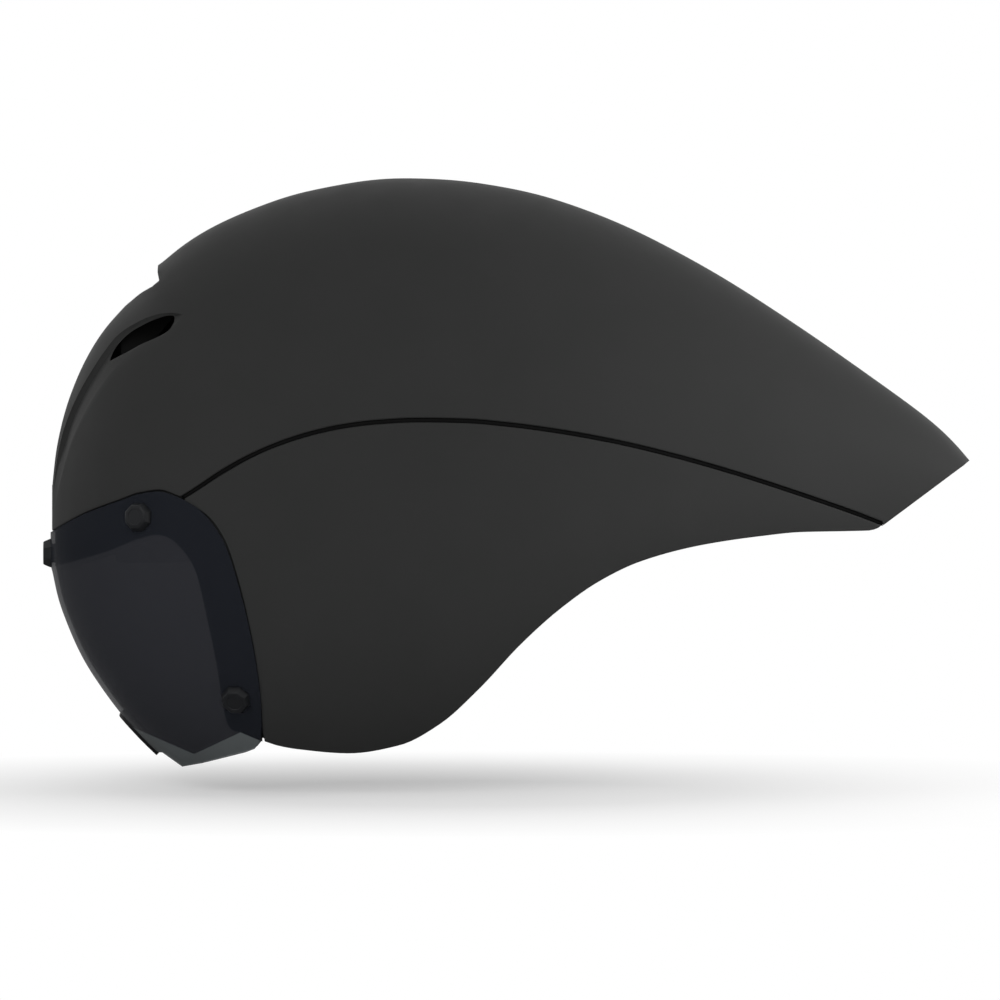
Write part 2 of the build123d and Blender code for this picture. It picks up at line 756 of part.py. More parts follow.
def fit_band(hand):
    """Rack, elbow and arm of one band. The left rack runs over the pinion, the right one under it."""
    over = -hand
    near, far = pinion_radius + tooth_root, pinion_radius + rack_height
    heights = sorted((fit_height + over * near, fit_height + over * far))
    ends = sorted((-hand * rack_inner, hand * (elbow_side + elbow_wall)))
    bar = block(rack_x, rack_x + rack_thickness, *ends, *heights)
    for tooth in rack_teeth(over):
        bar = bar + tooth
    walls = sorted((hand * elbow_side, hand * (elbow_side + elbow_wall)))
    meet = band_half_length * math.sqrt(1 - (elbow_side / band_half_width) ** 2)
    elbow = block(meet - 2 * elbow_wall, rack_x + rack_thickness, *walls, min(band_low, heights[0]), max(band_high, heights[1]))
    arm = oval_wall(band_half_length, band_half_width, band_wall, band_low, band_high)
    sides = sorted((hand * elbow_side, hand * half_width))
    arm = arm & block(-band_front, band_half_length, *sides, band_low, band_high)
    hole = temple_bore(temple_pin_radius + temple_hole_clearance)
    return bar + elbow + arm - (hole if hand > 0 else mirror(hole, Plane.XZ))


def temple_bore(radius):
    """Right temple pin's place, across the helmet."""
    length = temple_pin_outer - temple_pin_inner
    middle = (temple_pin_outer + temple_pin_inner) / 2
    height = (band_low + band_high) / 2
    return Pos(temple_pin_x, middle, height) * Rot(90, 0, 0) * Cylinder(radius, length)


def temple_pins():
    """Pins that the bands' front ends slide on, one a side."""
    height = (band_low + band_high) / 2
    head = Pos(temple_pin_x, temple_pin_inner, height) * Rot(90, 0, 0) * Cylinder(temple_head_radius, temple_head_thickness)
    right = temple_bore(temple_pin_radius) + head
    return Compound([mirror(right, Plane.XZ), right])


def along_shaft(start, length, radius):
    """Cylinder on the dial's axis."""
    return Pos(start + length / 2, 0, fit_height) * Rot(0, 90, 0) * Cylinder(radius, length)


def fit_dial():
    """Knurled dial, with the recess for its screw."""
    start = hub_back + dial_gap
    dial = along_shaft(start, dial_thickness, dial_radius)
    for k in range(dial_grips):
        turn = 2 * math.pi * k / dial_grips
        across, up = dial_radius * math.cos(turn), dial_radius * math.sin(turn)
        dial = dial - Pos(0, across, up) * along_shaft(start, dial_thickness, dial_grip_radius)
    dial = dial - along_shaft(start, dial_thickness - screw_head_depth, shaft_radius)
    return dial - along_shaft(start + dial_thickness - screw_head_depth, screw_head_depth, screw_head_radius)


def dial_shaft():
    """Shaft with its pinion between the two racks."""
    start = rack_x - rack_clearance
    end = hub_back + dial_gap + dial_thickness - screw_head_depth
    shaft = along_shaft(start, end - start, shaft_radius)
    shaft = shaft + along_shaft(rack_x, rack_thickness, pinion_radius - tooth_root)
    tip, foot = pinion_radius + tooth_top, pinion_radius - tooth_root - tooth_width
    tooth = Pos(rack_x + rack_thickness / 2, 0, (tip + foot) / 2) * Box(rack_thickness, tooth_width, tip - foot)
    for k in range(teeth):
        shaft = shaft + Pos(0, 0, fit_height) * Rot(360 * k / teeth, 0, 0) * tooth
    return shaft - along_shaft(end - screw_length, screw_length, screw_radius)


def dial_screw():
    end = hub_back + dial_gap + dial_thickness
    shank = along_shaft(end - screw_head_depth - screw_length, screw_length, screw_radius - press_clearance)
    return shank + along_shaft(end - screw_head_depth, screw_head_depth, screw_head_radius - press_clearance)


def strap_path(anchor, spread):
    """Frame of a side strap, its length in that frame and its heights over the plane of symmetry."""
    end_x = divider_x + spread
    end_z = divider_z + divider_height / 2 - divider_bite
    run_x, run_z = end_x - anchor[0], end_z - anchor[1]
    length = math.hypot(run_x, run_z)
    frame = Plane((anchor[0], 0, anchor[1]), x_dir=(run_x, 0, run_z), z_dir=(-run_z, 0, run_x))
    return frame, length, form_side(anchor[0], anchor[1], shell_wall) - anchor_gap


def side_strap(anchor, spread, growth=0.0):
    """Right-hand strap from its anchor on the cover down to the divider."""
    frame, length, outer_y = strap_path(anchor, spread)
    skin = web_thickness + growth
    outline = [(-growth, outer_y + growth), (anchor_tab, outer_y + growth), (length + growth, divider_y + growth),
               (length + growth, divider_y - skin), (anchor_tab, outer_y - skin), (-growth, outer_y - skin)]
    face = frame * make_face(Polyline(*outline, close=True))
    half = web_width / 2 + growth
    strap = extrude(face, amount=half, both=True)
    return strap if growth else strap - rivet(anchor, spread, rivet_radius + pin_clearance)


def rivet(anchor, spread, radius):
    """Shank of a rivet through the strap's tab, on the right."""
    frame, length, outer_y = strap_path(anchor, spread)
    tall = anchor_gap + web_thickness + rivet_head_thickness
    return frame * Pos(rivet_drop, outer_y + anchor_gap - seat_gap - tall / 2, 0) * Rot(90, 0, 0) * Cylinder(radius, tall)


def strap_rivets():
    """Four rivets with their heads inside the straps."""
    rivets = []
    for anchor, spread in ((front_anchor, -strap_spread), (rear_anchor, strap_spread)):
        frame, length, outer_y = strap_path(anchor, spread)
        depth = outer_y - web_thickness - seat_gap - rivet_head_thickness / 2
        head = frame * Pos(rivet_drop, depth, 0) * Rot(90, 0, 0) * Cylinder(rivet_head_radius, rivet_head_thickness)
        piece = rivet(anchor, spread, rivet_radius) + head
        rivets += [mirror(piece, Plane.XZ), piece]
    return Compound(rivets)


def cam_axis(hand):
    """Place of a cam lever's hinge: height and distance from the plane of symmetry."""
    return hand * (divider_y - divider_depth / 2 - cam_gap - cam_thickness / 2), divider_z + cam_drop - divider_height / 8


def strap_divider():
    """Right divider: slots for three straps and two lugs for the cam lever."""
    body = Pos(divider_x, divider_y, divider_z) * Box(divider_length, divider_depth, divider_height)
    body = fillet(body.edges().filter_by(Axis.Y), divider_depth / 2)
    for anchor, spread in ((front_anchor, -strap_spread), (rear_anchor, strap_spread)):
        body = body - side_strap(anchor, spread, slot_clearance)
    body = body - chin_web(0, chin_tail_y, slot_clearance)
    axis_y, axis_z = cam_axis(1)
    knuckle = cam_thickness / 2 + cam_gap
    for end in (-1, 1):
        near = divider_x + end * (cam_width / 2 + cam_lug_gap)
        span = sorted((near, near + end * cam_lug))
        body = body + block(*span, axis_y - knuckle, divider_y - divider_depth / 2, axis_z - knuckle, axis_z + knuckle)
    bore = Pos(divider_x, axis_y, axis_z) * Rot(0, 90, 0) * Cylinder(cam_pin_radius + cam_pin_clearance, 2 * cam_width)
    return largest(body - bore)


def divider_cam():
    """Right cam lever with its pin."""
    axis_y, axis_z = cam_axis(1)
    place = Pos(divider_x, axis_y, axis_z)
    plate = Pos(0, 0, cam_reach / 2) * Box(cam_width, cam_thickness, cam_reach)
    knuckle = Rot(0, 90, 0) * Cylinder(cam_thickness / 2, cam_width)
    cross_pin = Rot(0, 90, 0) * Cylinder(cam_pin_radius, cam_width + 2 * cam_lug_gap + 2 * cam_lug)
    return place * (plate + knuckle + cross_pin)


def chin_web(start, end, growth=0.0):
    """Flat run of the chin strap across the helmet."""
    half, skin = web_width / 2 + growth, web_thickness / 2 + growth
    low, high = sorted((start, end))
    return block(divider_x - half, divider_x + half, low - growth, high + growth, chin_z - skin, chin_z + skin)


def chin_strap_left():
    return chin_web(-divider_y, socket_end_y + divider_bite)


def chin_strap_right():
    """Moving run of the chin strap, looped round the tongue's bar."""
    half = web_width / 2
    inside = blade_thickness / 2 + blade_clearance
    near = tongue_bar_y - blade_clearance - web_thickness
    ring_body = block(divider_x - half, divider_x + half, near, loop_end_y,
                      chin_z - inside - web_thickness, chin_z + inside + web_thickness)
    hollow = block(divider_x - half, divider_x + half, near + web_thickness, loop_end_y - web_thickness,
                   chin_z - inside, chin_z + inside)
    return (ring_body - hollow) + chin_web(loop_end_y, chin_tail_y)


def buckle_socket():
    middle = (socket_end_y + socket_mouth_y) / 2
    body = Pos(divider_x, middle, chin_z) * Box(socket_width, socket_mouth_y - socket_end_y, socket_height)
    body = fillet(body.edges().filter_by(Axis.Y), socket_height / 3)
    half, skin = blade_width / 2 + blade_clearance, blade_thickness / 2 + blade_clearance
    pocket = block(divider_x - half, divider_x + half, socket_mouth_y - blade_length - blade_clearance,
                   socket_mouth_y, chin_z - skin, chin_z + skin)
    return body - pocket - chin_web(socket_end_y, socket_end_y + divider_bite, slot_clearance)


def buckle_tongue():
    """Blade, frame and bar of the tongue."""
    half, skin = blade_width / 2, blade_thickness / 2
    start = socket_mouth_y + blade_clearance
    blade = block(divider_x - half, divider_x + half, socket_mouth_y - blade_length, start, chin_z - skin, chin_z + skin)
    rail = web_width / 2 + blade_clearance + tongue_rail
    frame = block(divider_x - rail, divider_x + rail, start, tongue_bar_y + tongue_bar, chin_z - skin, chin_z + skin)
    slot_half = web_width / 2 + blade_clearance
    slot = block(divider_x - slot_half, divider_x + slot_half, start + tongue_base, tongue_bar_y, chin_z - skin, chin_z + skin)
    return blade + frame - slot


def chin_pad():
    """Soft pad under the moving strap."""
    half = web_width / 2
    top = chin_z - web_thickness / 2 - seat_gap
    pad = block(divider_x - half, divider_x + half, chin_pad_start, chin_pad_start + chin_pad_length,
                top - chin_pad_thickness, top)
    return fillet(pad.edges().filter_by(Axis.Z), chin_pad_thickness / 2)


def strap_keeper():
    half, skin = web_width / 2 + slot_clearance, web_thickness / 2 + slot_clearance
    outside = block(divider_x - half - keeper_wall, divider_x + half + keeper_wall, keeper_y, keeper_y + keeper_length,
                    chin_z - skin - keeper_wall, chin_z + skin + keeper_wall)
    return outside - block(divider_x - half, divider_x + half, keeper_y, keeper_y + keeper_length,
                           chin_z - skin, chin_z + skin)


outer = form(0)
inner = form(shell_wall)
flange_outer = form(flange_outside)
flange_inner = form(flange_inside)
seats = [plane.offset(-(lens_proud + flange_outside + seat_sink)) for plane in stud_planes(-lens_proud)]

paired = {
    "side_cover": side_cover,
    "seam_seal": seam_seal,
    "side_pad": side_pad,
    "ear_pad": ear_pad,
    "front_strap": lambda: side_strap(front_anchor, -strap_spread),
    "rear_strap": lambda: side_strap(rear_anchor, strap_spread),
    "strap_divider": strap_divider,
    "divider_cam": divider_cam,
}
single = [upper_shell, foam_liner, cover_push_pins, shell_magnets, goggle_lens, lens_border_band, lens_studs,
          stud_magnets, nose_bridge, brow_pad, crown_pad, fit_cradle, cradle_clips, cradle_pad, temple_pins,
          fit_dial, dial_shaft, dial_screw, strap_rivets, chin_strap_left, chin_strap_right, buckle_socket,
          buckle_tongue, chin_pad, strap_keeper]


def build():
    """Every node of the helmet by name."""
    nodes = {make.__name__: make() for make in single}
    for name, make in paired.items():
        nodes[f"left_{name}"], nodes[f"right_{name}"] = left_and_right(make())
    nodes["left_fit_band"], nodes["right_fit_band"] = fit_band(-1), fit_band(1)
    return nodes


os.makedirs("parts", exist_ok=True)
for name, shape in build().items():
    export_step(shape, f"parts/{name}.step")
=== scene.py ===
"""Aero time trial helmet: its pieces in the order they go together, then the studio. Metres.

The side view's lines are given in photo pixels, as (across, down), and side() turns them into metres.
"""
import math
import bmesh
import bpy
import numpy as np
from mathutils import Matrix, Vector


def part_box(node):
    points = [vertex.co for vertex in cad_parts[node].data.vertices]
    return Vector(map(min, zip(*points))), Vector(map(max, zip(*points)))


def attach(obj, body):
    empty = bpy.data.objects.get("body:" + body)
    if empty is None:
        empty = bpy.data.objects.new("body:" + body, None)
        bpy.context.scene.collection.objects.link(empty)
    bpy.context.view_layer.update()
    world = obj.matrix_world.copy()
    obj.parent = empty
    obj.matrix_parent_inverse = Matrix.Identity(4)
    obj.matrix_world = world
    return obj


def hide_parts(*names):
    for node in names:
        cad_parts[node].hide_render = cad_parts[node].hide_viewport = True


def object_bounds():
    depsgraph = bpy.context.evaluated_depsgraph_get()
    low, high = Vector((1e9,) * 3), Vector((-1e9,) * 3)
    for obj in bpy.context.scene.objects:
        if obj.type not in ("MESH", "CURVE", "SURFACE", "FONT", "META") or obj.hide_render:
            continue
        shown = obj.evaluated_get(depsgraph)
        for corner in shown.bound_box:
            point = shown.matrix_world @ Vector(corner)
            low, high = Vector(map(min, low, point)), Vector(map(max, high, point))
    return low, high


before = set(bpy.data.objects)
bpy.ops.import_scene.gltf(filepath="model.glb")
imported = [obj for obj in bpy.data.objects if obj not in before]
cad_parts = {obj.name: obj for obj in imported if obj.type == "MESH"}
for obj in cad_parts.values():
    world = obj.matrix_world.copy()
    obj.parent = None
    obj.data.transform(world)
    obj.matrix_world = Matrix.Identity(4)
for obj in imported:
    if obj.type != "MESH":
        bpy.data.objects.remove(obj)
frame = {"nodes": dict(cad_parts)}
cad_low, cad_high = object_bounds()
mm = 0.001

# Upper shell: one moulded polycarbonate skin from the brow to the slanted tail, matte charcoal paint.
# It has a forward scoop on the crown, a slot on each side and a channel from each slot to the brow,
# and a rest behind the lens that carries three of the lens's magnets.
pixel_across, pixel_down = 361.5 * mm / 927, 229.3 * mm / 588
origin_across, origin_down, half_width = 380, 575, 99 * mm
brow_pixel, form_end_pixel = 52.5, 990
crown_power, keel_power = 2.2, 2.3
crown_pixels = [
    (52.5, 485), (54, 470), (56, 452), (60, 432), (64, 415), (72, 391), (84, 363), (104, 330), (130, 301),
    (163, 262), (200, 234), (250, 210), (308, 191), (400, 178), (440, 179), (520, 190), (600, 215),
    (700, 264), (800, 327), (880, 383), (921, 412.5), (952, 437), (965, 450), (972, 458.6), (990, 488)]
keel_pixels = [
    (52.5, 566), (54, 571), (59, 595), (67, 618.5), (83, 655), (106, 691), (123, 713.5), (146, 739),
    (166, 758), (200, 783), (260, 803), (340, 808), (420, 795), (500, 755), (560, 710), (640, 650),
    (720, 612), (820, 588), (900, 575), (990, 560)]
waist_pixels = [
    (52.5, 530), (141, 552), (240, 570), (340, 575), (440, 560), (560, 525), (700, 490), (850, 476),
    (990, 492)]
plan_shares = [
    (52.5, 0.08), (54, 0.14), (58, 0.235), (66, 0.355), (80, 0.5), (104, 0.672), (140, 0.805), (190, 0.89),
    (260, 0.952), (340, 0.992), (420, 1.0), (520, 0.95), (620, 0.83), (720, 0.66), (820, 0.477), (900, 0.34),
    (990, 0.2)]
lens_top_pixels = [(51, 533), (87, 514), (122, 501), (142, 494), (161, 491.5), (183, 498.5)]
groove_pixels = [
    (183, 498.5), (195, 491), (225, 471), (255, 454.8), (285, 442.3), (315, 433), (345, 426.6), (375, 422.8),
    (420, 420.5), (465, 421.3), (510, 425.2), (555, 431.2), (615, 442), (675, 456.3), (735, 473.4),
    (795, 492.8), (855, 513.6), (882, 524)]
tail_corner_pixel, tail_tip_pixel = (882, 525.5), (972, 458.6)
ridge_pixels = [
    (52.5, 508), (54, 490), (57, 463), (64.5, 430), (78, 397), (97, 364.5), (111, 344.5), (119, 335.5),
    (134, 325.2), (151, 317.5), (163, 314.4), (173, 313.6), (179, 314.3), (185, 316)]
outer_pixels = [
    (52.5, 526), (54, 515), (57, 500), (61, 482), (70.6, 448), (80, 426), (97.4, 395), (118.4, 368.5),
    (132, 356), (146, 347), (157, 341.5), (167, 335), (174, 328.5), (180, 322), (185, 318)]
vent_pixels = [
    (111.2, 360.7), (116, 349.5), (122.3, 341.4), (131.8, 332.8), (143.3, 326.1), (154.8, 320.6),
    (164.4, 317.4), (171.8, 316.2), (175.6, 317.3), (176, 320.6), (174.8, 324.6), (171.6, 329.9),
    (166, 334.3), (154.8, 339.8), (143.3, 344.7), (131.8, 351), (122.3, 355.9), (115, 359.4)]
brow_edge_pixels = [(51, 571), (100, 557), (150, 538), (185, 500)]
lens_end_pixel, channel_end_pixel, cut_from_pixel = 183, 185, 860
shell_wall, lens_gap, lens_proud, groove_half = 2.2 * mm, 0.6 * mm, 0.6 * mm, 0.9 * mm
rest_outside, rest_inside, rest_lap = 1.9 * mm, 4.2 * mm, 3.0 * mm
rim_radius = 0.5 * mm
channel_depth, vent_depth = 2.1 * mm, 1.5 * mm
prow_bulge = 0.15 * mm
scoop_half, scoop_duct_half, scoop_block_half, scoop_block_depth = 30 * mm, 27 * mm, 33 * mm, 12 * mm
scoop_floor_pixels = [(126, 305.5), (131, 301.5), (142, 293), (150, 288.5), (157, 284.5), (161, 279.5)]
duct_floor_pixels = [(148, 289), (157, 284.5), (170, 287), (208, 275)]
scoop_lip_pixel, scoop_reach, duct_inset = 160.2, 0.8 * mm, 1.6 * mm
boss_radius, boss_depth, pocket_radius, pocket_depth = 6.4 * mm, 4.6 * mm, 4.05 * mm, 3.05 * mm
seat_sink, seat_bevel = 0.8 * mm, 0.3 * mm
upper_stud_pixel, lower_stud_pixel, front_stud_down = (141, 517), (237.6, 698), 553


def smooth(knots, at):
    """Hermite cubic through the knots, whose slopes are harmonic means, so nothing overshoots."""
    x, y = np.asarray(knots, float).T
    step = np.diff(x)
    slope = np.diff(y) / step
    before, after = 2 * step[1:] + step[:-1], step[1:] + 2 * step[:-1]
    same = slope[:-1] * slope[1:] > 0
    bottom = np.where(same, before / np.where(same, slope[:-1], 1) + after / np.where(same, slope[1:], 1), 1)
    rate = np.concatenate([slope[:1], np.where(same, (before + after) / bottom, 0), slope[-1:]])
    k = np.clip(np.searchsorted(x, at) - 1, 0, len(x) - 2)
    t = (at - x[k]) / step[k]
    start = (1 + 2 * t) * (1 - t) ** 2 * y[k] + t * (1 - t) ** 2 * step[k] * rate[k]
    return start + t ** 2 * (3 - 2 * t) * y[k + 1] + t ** 2 * (t - 1) * step[k] * rate[k + 1]


def side(across, down):
    """Metres of a place on the side view."""
    return (np.asarray(across) - origin_across) * pixel_across, (origin_down - np.asarray(down)) * pixel_down


def height(knots, across):
    """Height in metres of a line on the side view at pixels across."""
    return side(across, smooth(knots, across))[1]


def fair(values, reach=18):
    """A line without the small jumps of curvature at its knots: a bell-shaped running mean."""
    bell = np.exp(-0.5 * (np.arange(-reach, reach + 1) / (0.42 * reach)) ** 2)
    ends = 2 * values[0] - values[reach:0:-1], 2 * values[-1] - values[-2:-reach - 2:-1]
    return np.convolve(np.concatenate([ends[0], values, ends[1]]), bell / bell.sum(), "valid")


line_pixels = brow_pixel + (form_end_pixel - brow_pixel) * np.linspace(0, 1, 600) ** 2
line_x = side(line_pixels, 0)[0]
crown_line, keel_line, waist_line = ((line_x, fair(height(knots, line_pixels)))
                                     for knots in (crown_pixels, keel_pixels, waist_pixels))
plan_line = (line_x, fair(half_width * smooth(plan_shares, line_pixels)))
brow_x = line_x[0]


def signed_power(value, power):
    """Power of a value's size, with the value's own sign."""
    return np.sign(value) * np.abs(value) ** power


def full_turn(count):
    """Angles evenly round a circle."""
    return np.linspace(0, 2 * math.pi, count, endpoint=False)


def unit(vectors):
    """Vectors drawn to length 1."""
    return vectors / np.linalg.norm(vectors, axis=-1, keepdims=True)


def run_along(points):
    """Length along each row of points, from 0 at its first."""
    return np.insert(np.cumsum(np.linalg.norm(np.diff(points, axis=-2), axis=-1), -1), 0, 0, -1)


def inset_line(line, inset, inward):
    """A line moved along its own normals by the inset."""
    x, y = line
    run, rise = np.gradient(x), np.gradient(y)
    size = np.hypot(run, rise)
    return x + inward * inset * rise / size, y - inward * inset * run / size


def lines_at(x, inset):
    """Crown, keel, plan and waist of the form at x, for a layer at an inset."""
    crown = np.interp(x, *inset_line(crown_line, inset, 1))
    keel = np.interp(x, *inset_line(keel_line, inset, -1))
    plan = np.interp(x, *inset_line(plan_line, inset, 1))
    return crown, keel, plan, np.interp(x, *waist_line)


def on_form(x, turn, inset):
    """Points of the form: at x, a superellipse above and below the waist, with turn 0 at the crown."""
    crown, keel, plan, waist = (line[:, None] for line in lines_at(x, inset))
    up, across = np.cos(turn), np.sin(turn)
    power = np.where(up >= 0, crown_power, keel_power)
    reach = np.where(up >= 0, crown - waist, waist - keel)
    y = plan * signed_power(across, 2 / power)
    z = waist + reach * signed_power(up, 2 / power)
    return np.stack([np.broadcast_to(x[:, None], turn.shape), y, z], -1)


def turn_at(x, z, inset):
    """Turn from the crown at which the form's section at x has the height z."""
    crown, keel, _, waist = lines_at(x, inset)
    up = np.clip((z - waist) / (crown - waist), 0, 1) ** (crown_power / 2)
    down = np.clip((waist - z) / (waist - keel), 0, 1) ** (keel_power / 2)
    return np.where(z >= waist, np.arccos(up), math.pi - np.arccos(down))


def form_side(x, z, inset):
    """Half width of the form at a place on the side view."""
    crown, keel, plan, waist = lines_at(x, inset)
    power = np.where(z > waist, crown_power, keel_power)
    share = np.abs(z - waist) / np.where(z > waist, crown - waist, waist - keel)
    return plan * np.clip(1 - share ** power, 0, 1) ** (1 / power)


def spread(x, inset, stops, counts, eases):
    """Turns at each x from stop to stop, evenly along the arc, eased towards an end if ease isn't 1."""
    columns = []
    for first, last, count, ease in zip(stops, stops[1:], counts, eases):
        share = np.linspace(0, 1, count + 1)
        share = share ** ease if ease >= 1 else 1 - (1 - share) ** (1 / ease)
        fine = first[:, None] + (last - first)[:, None] * np.linspace(0, 1, 60)
        runs = run_along(on_form(x, fine, inset))
        turns = np.array([np.interp(share * run[-1], run, turn) for run, turn in zip(runs, fine)])
        columns.append(turns if first is stops[0] else turns[:, 1:])
    return np.concatenate(columns, 1)


def strip_between(x, inset, heights, counts, eases=(1,)):
    """Arcs of the form at each x, between heights on the right side."""
    turns = spread(x, inset, [turn_at(x, z, inset) for z in heights], counts, eases)
    return on_form(x, turns, inset)


def layer_x(across, inset):
    """Stations of a layer: its front end lies at the inset behind the form's front."""
    x = side(across, 0)[0]
    return x + inset * np.clip(1 - (x - brow_x) / (40 * mm), 0, 1)


def prow(points):
    """Closes the blunt front: the first section is drawn in to the plane of symmetry in three steps."""
    rows = []
    for share in (0.0, 0.4, 0.75):
        row = points[0] * (1, share, 1)
        row[:, 0] -= prow_bulge * (1 - share ** 2)
        rows.append(row)
    return np.concatenate([np.array(rows), points])


def pushed(points, depth):
    """A grid moved against its own normals by a depth at each point."""
    normal = np.cross(np.gradient(points, axis=0), np.gradient(points, axis=1))
    size = np.linalg.norm(normal, axis=2, keepdims=True)
    return points - normal / np.maximum(size, 1e-12) * depth[..., None]


def rim_depth(points):
    """Drop of a rounded edge: a quarter circle over the last rim_radius of each arc."""
    run = run_along(points)
    near = [np.clip(rim_radius - distance, 0, rim_radius) for distance in (run, run[:, -1:] - run)]
    return sum(rim_radius - np.sqrt(rim_radius ** 2 - share ** 2) for share in near)


def quads(index):
    """Faces of a grid of vertex numbers."""
    return np.stack([index[:-1, :-1], index[1:, :-1], index[1:, 1:], index[:-1, 1:]], -1).reshape(-1, 4)


def tube(grid, ring=False):
    """Points and faces of a grid whose rows close on themselves, as its columns do in a ring."""
    index = np.arange(grid[..., 0].size).reshape(grid.shape[:2])
    return grid.reshape(-1, 3), quads(np.pad(index, ((0, int(ring)), (0, 1)), "wrap"))


def wall(outer, inner, has_prow=False):
    """Closed wall: two grids and a strip round their edges, but for a prow's first row."""
    rows, columns = outer.shape[:2]
    index = np.arange(rows * columns).reshape(rows, columns)
    back = index + rows * columns
    pairs = [(back[0], index[0]), (index[-1], back[-1]), (index[:, 0], back[:, 0]),
             (back[:, -1], index[:, -1])]
    strips = [quads(np.stack(pair)) for pair in pairs[int(has_prow):]]
    points = np.concatenate([outer.reshape(-1, 3), inner.reshape(-1, 3)])
    return points, np.concatenate([quads(index), quads(back)[:, ::-1]] + strips)


def layers(sheet, outside, inside, hand=1):
    """Closed wall between two insets of a sheet, on the right side or mirrored to the left."""
    return wall(*(sheet(inset) * (1, hand, 1) for inset in (outside, inside)))


def joined(*parts):
    """Several (points, faces) pairs as one."""
    starts = np.cumsum([0, *(len(points) for points, _ in parts)])
    shifted = [faces + start for (_, faces), start in zip(parts, starts)]
    return np.concatenate([points for points, _ in parts]), np.concatenate(shifted)


def placed(name, data):
    """New object in the scene."""
    thing = bpy.data.objects.new(name, data)
    bpy.context.scene.collection.objects.link(thing)
    return thing


def shaded(piece):
    """Shades a piece smooth between edges sharper than 35 degrees."""
    piece.data.polygons.foreach_set("use_smooth", np.ones(len(piece.data.polygons), bool))
    piece.data.set_sharp_from_angle(angle=math.radians(35))
    return piece


def settle(piece):
    """Merges doubled points, turns faces outward and shades the piece."""
    shape = bmesh.new()
    shape.from_mesh(piece.data)
    bmesh.ops.remove_doubles(shape, verts=shape.verts, dist=2e-6)
    bmesh.ops.dissolve_degenerate(shape, edges=shape.edges, dist=1e-6)
    bmesh.ops.recalc_face_normals(shape, faces=shape.faces)
    shape.to_mesh(piece.data)
    shape.free()
    return shaded(piece)


def make(name, points, faces, uv=None):
    """New object from points and faces, with a UV for each point where one is given."""
    mesh = bpy.data.meshes.new(name)
    mesh.from_pydata(points.tolist(), [], [tuple(int(k) for k in face) for face in faces])
    if uv is not None:
        corner = np.zeros(len(mesh.loops), np.int32)
        mesh.loops.foreach_get("vertex_index", corner)
        mesh.uv_layers.new(name="cloth").data.foreach_set("uv", uv[corner].astype(np.float32).ravel())
    return settle(placed(name, mesh))


def carve(piece, *tools):
    """Cuts solids out of a piece, one after another."""
    for tool in tools:
        cut = piece.modifiers.new("cut", "BOOLEAN")
        cut.operation, cut.solver, cut.object = "DIFFERENCE", "EXACT", tool
        bpy.context.view_layer.update()
        graph = bpy.context.evaluated_depsgraph_get()
        mesh = bpy.data.meshes.new_from_object(piece.evaluated_get(graph))
        piece.modifiers.clear()
        piece.data = mesh
        bpy.data.objects.remove(tool)
    return shaded(piece)


def flowing(pixels, count, closed=True):
    """Catmull-Rom curve through pixel places: count places on it, evenly over the knots."""
    knots = np.array(pixels, float)
    last = len(knots) if closed else len(knots) - 1
    steps = np.linspace(0, last, count, endpoint=not closed)
    whole = np.minimum(steps.astype(int), last - 1)
    t = (steps - whole)[:, None]
    picks = [whole + k for k in (-1, 0, 1, 2)]
    picks = [k % len(knots) if closed else np.clip(k, 0, last) for k in picks]
    before, here, after, later = (knots[k] for k in picks)
    return 0.5 * (2 * here + (after - before) * t + (2 * before - 5 * here + 4 * after - later) * t ** 2
                  + (3 * here - before - 3 * after + later) * t ** 3)


def cutter(near, far):
    """Closed solid between two outlines of as many places each."""
    ring = np.arange(len(near))
    following, count = np.roll(ring, -1), len(near)
    sides = np.stack([ring, following, following + count, ring + count], 1)
    return make("cutter", np.concatenate([near, far]), [*sides, ring[::-1], ring + count])


def prism(pixels, low, high):
    """Cutter through the side view's outline, from one distance across the helmet to another."""
    x, z = side(*np.array(pixels, float).T)
    return cutter(*(np.stack([x, np.full(len(x), y), z], 1) for y in (low, high)))


def stud_frames(inset):
    """Origins and outward normals of the five studs on a layer: front, upper pair, lower pair."""
    frames = [(np.array([brow_x + inset, 0, side(0, front_stud_down)[1]]), np.array([-1.0, 0, 0]))]
    probe = 2 * mm
    for pixel in (upper_stud_pixel, lower_stud_pixel):
        x, z = side(*pixel)
        slope_x = (form_side(x + probe, z, inset) - form_side(x - probe, z, inset)) / (2 * probe)
        slope_z = (form_side(x, z + probe, inset) - form_side(x, z - probe, inset)) / (2 * probe)
        for hand in (-1, 1):
            normal = unit(np.array([-slope_x, hand, -slope_z]))
            frames.append((np.array([x, hand * form_side(x, z, inset), z]), normal))
    return frames


def turned(profile, origin, normal, sides=40, start=0.0):
    """Profile of (radius, height) pairs turned about a normal at an origin, closed at both ends."""
    flat = unit(np.cross(normal, (0, 0, 1.0)))
    other = np.cross(normal, flat)
    angle = start + full_turn(sides)
    ring = np.cos(angle)[:, None] * flat + np.sin(angle)[:, None] * other
    radius, tall = np.array(profile).T
    return tube(origin + radius[:, None, None] * ring[None] + tall[:, None, None] * normal)


def boss(number):
    """Seat behind the lens with the pocket of a magnet, number as in stud_frames."""
    origin, normal = stud_frames(-lens_proud)[number]
    profile = [(0, -pocket_depth), (pocket_radius, -pocket_depth), (pocket_radius, 0),
               (boss_radius - seat_bevel, 0), (boss_radius, -seat_bevel), (boss_radius, -boss_depth),
               (0, -boss_depth)]
    return turned(profile, origin - normal * (lens_proud + rest_outside + seat_sink), normal)


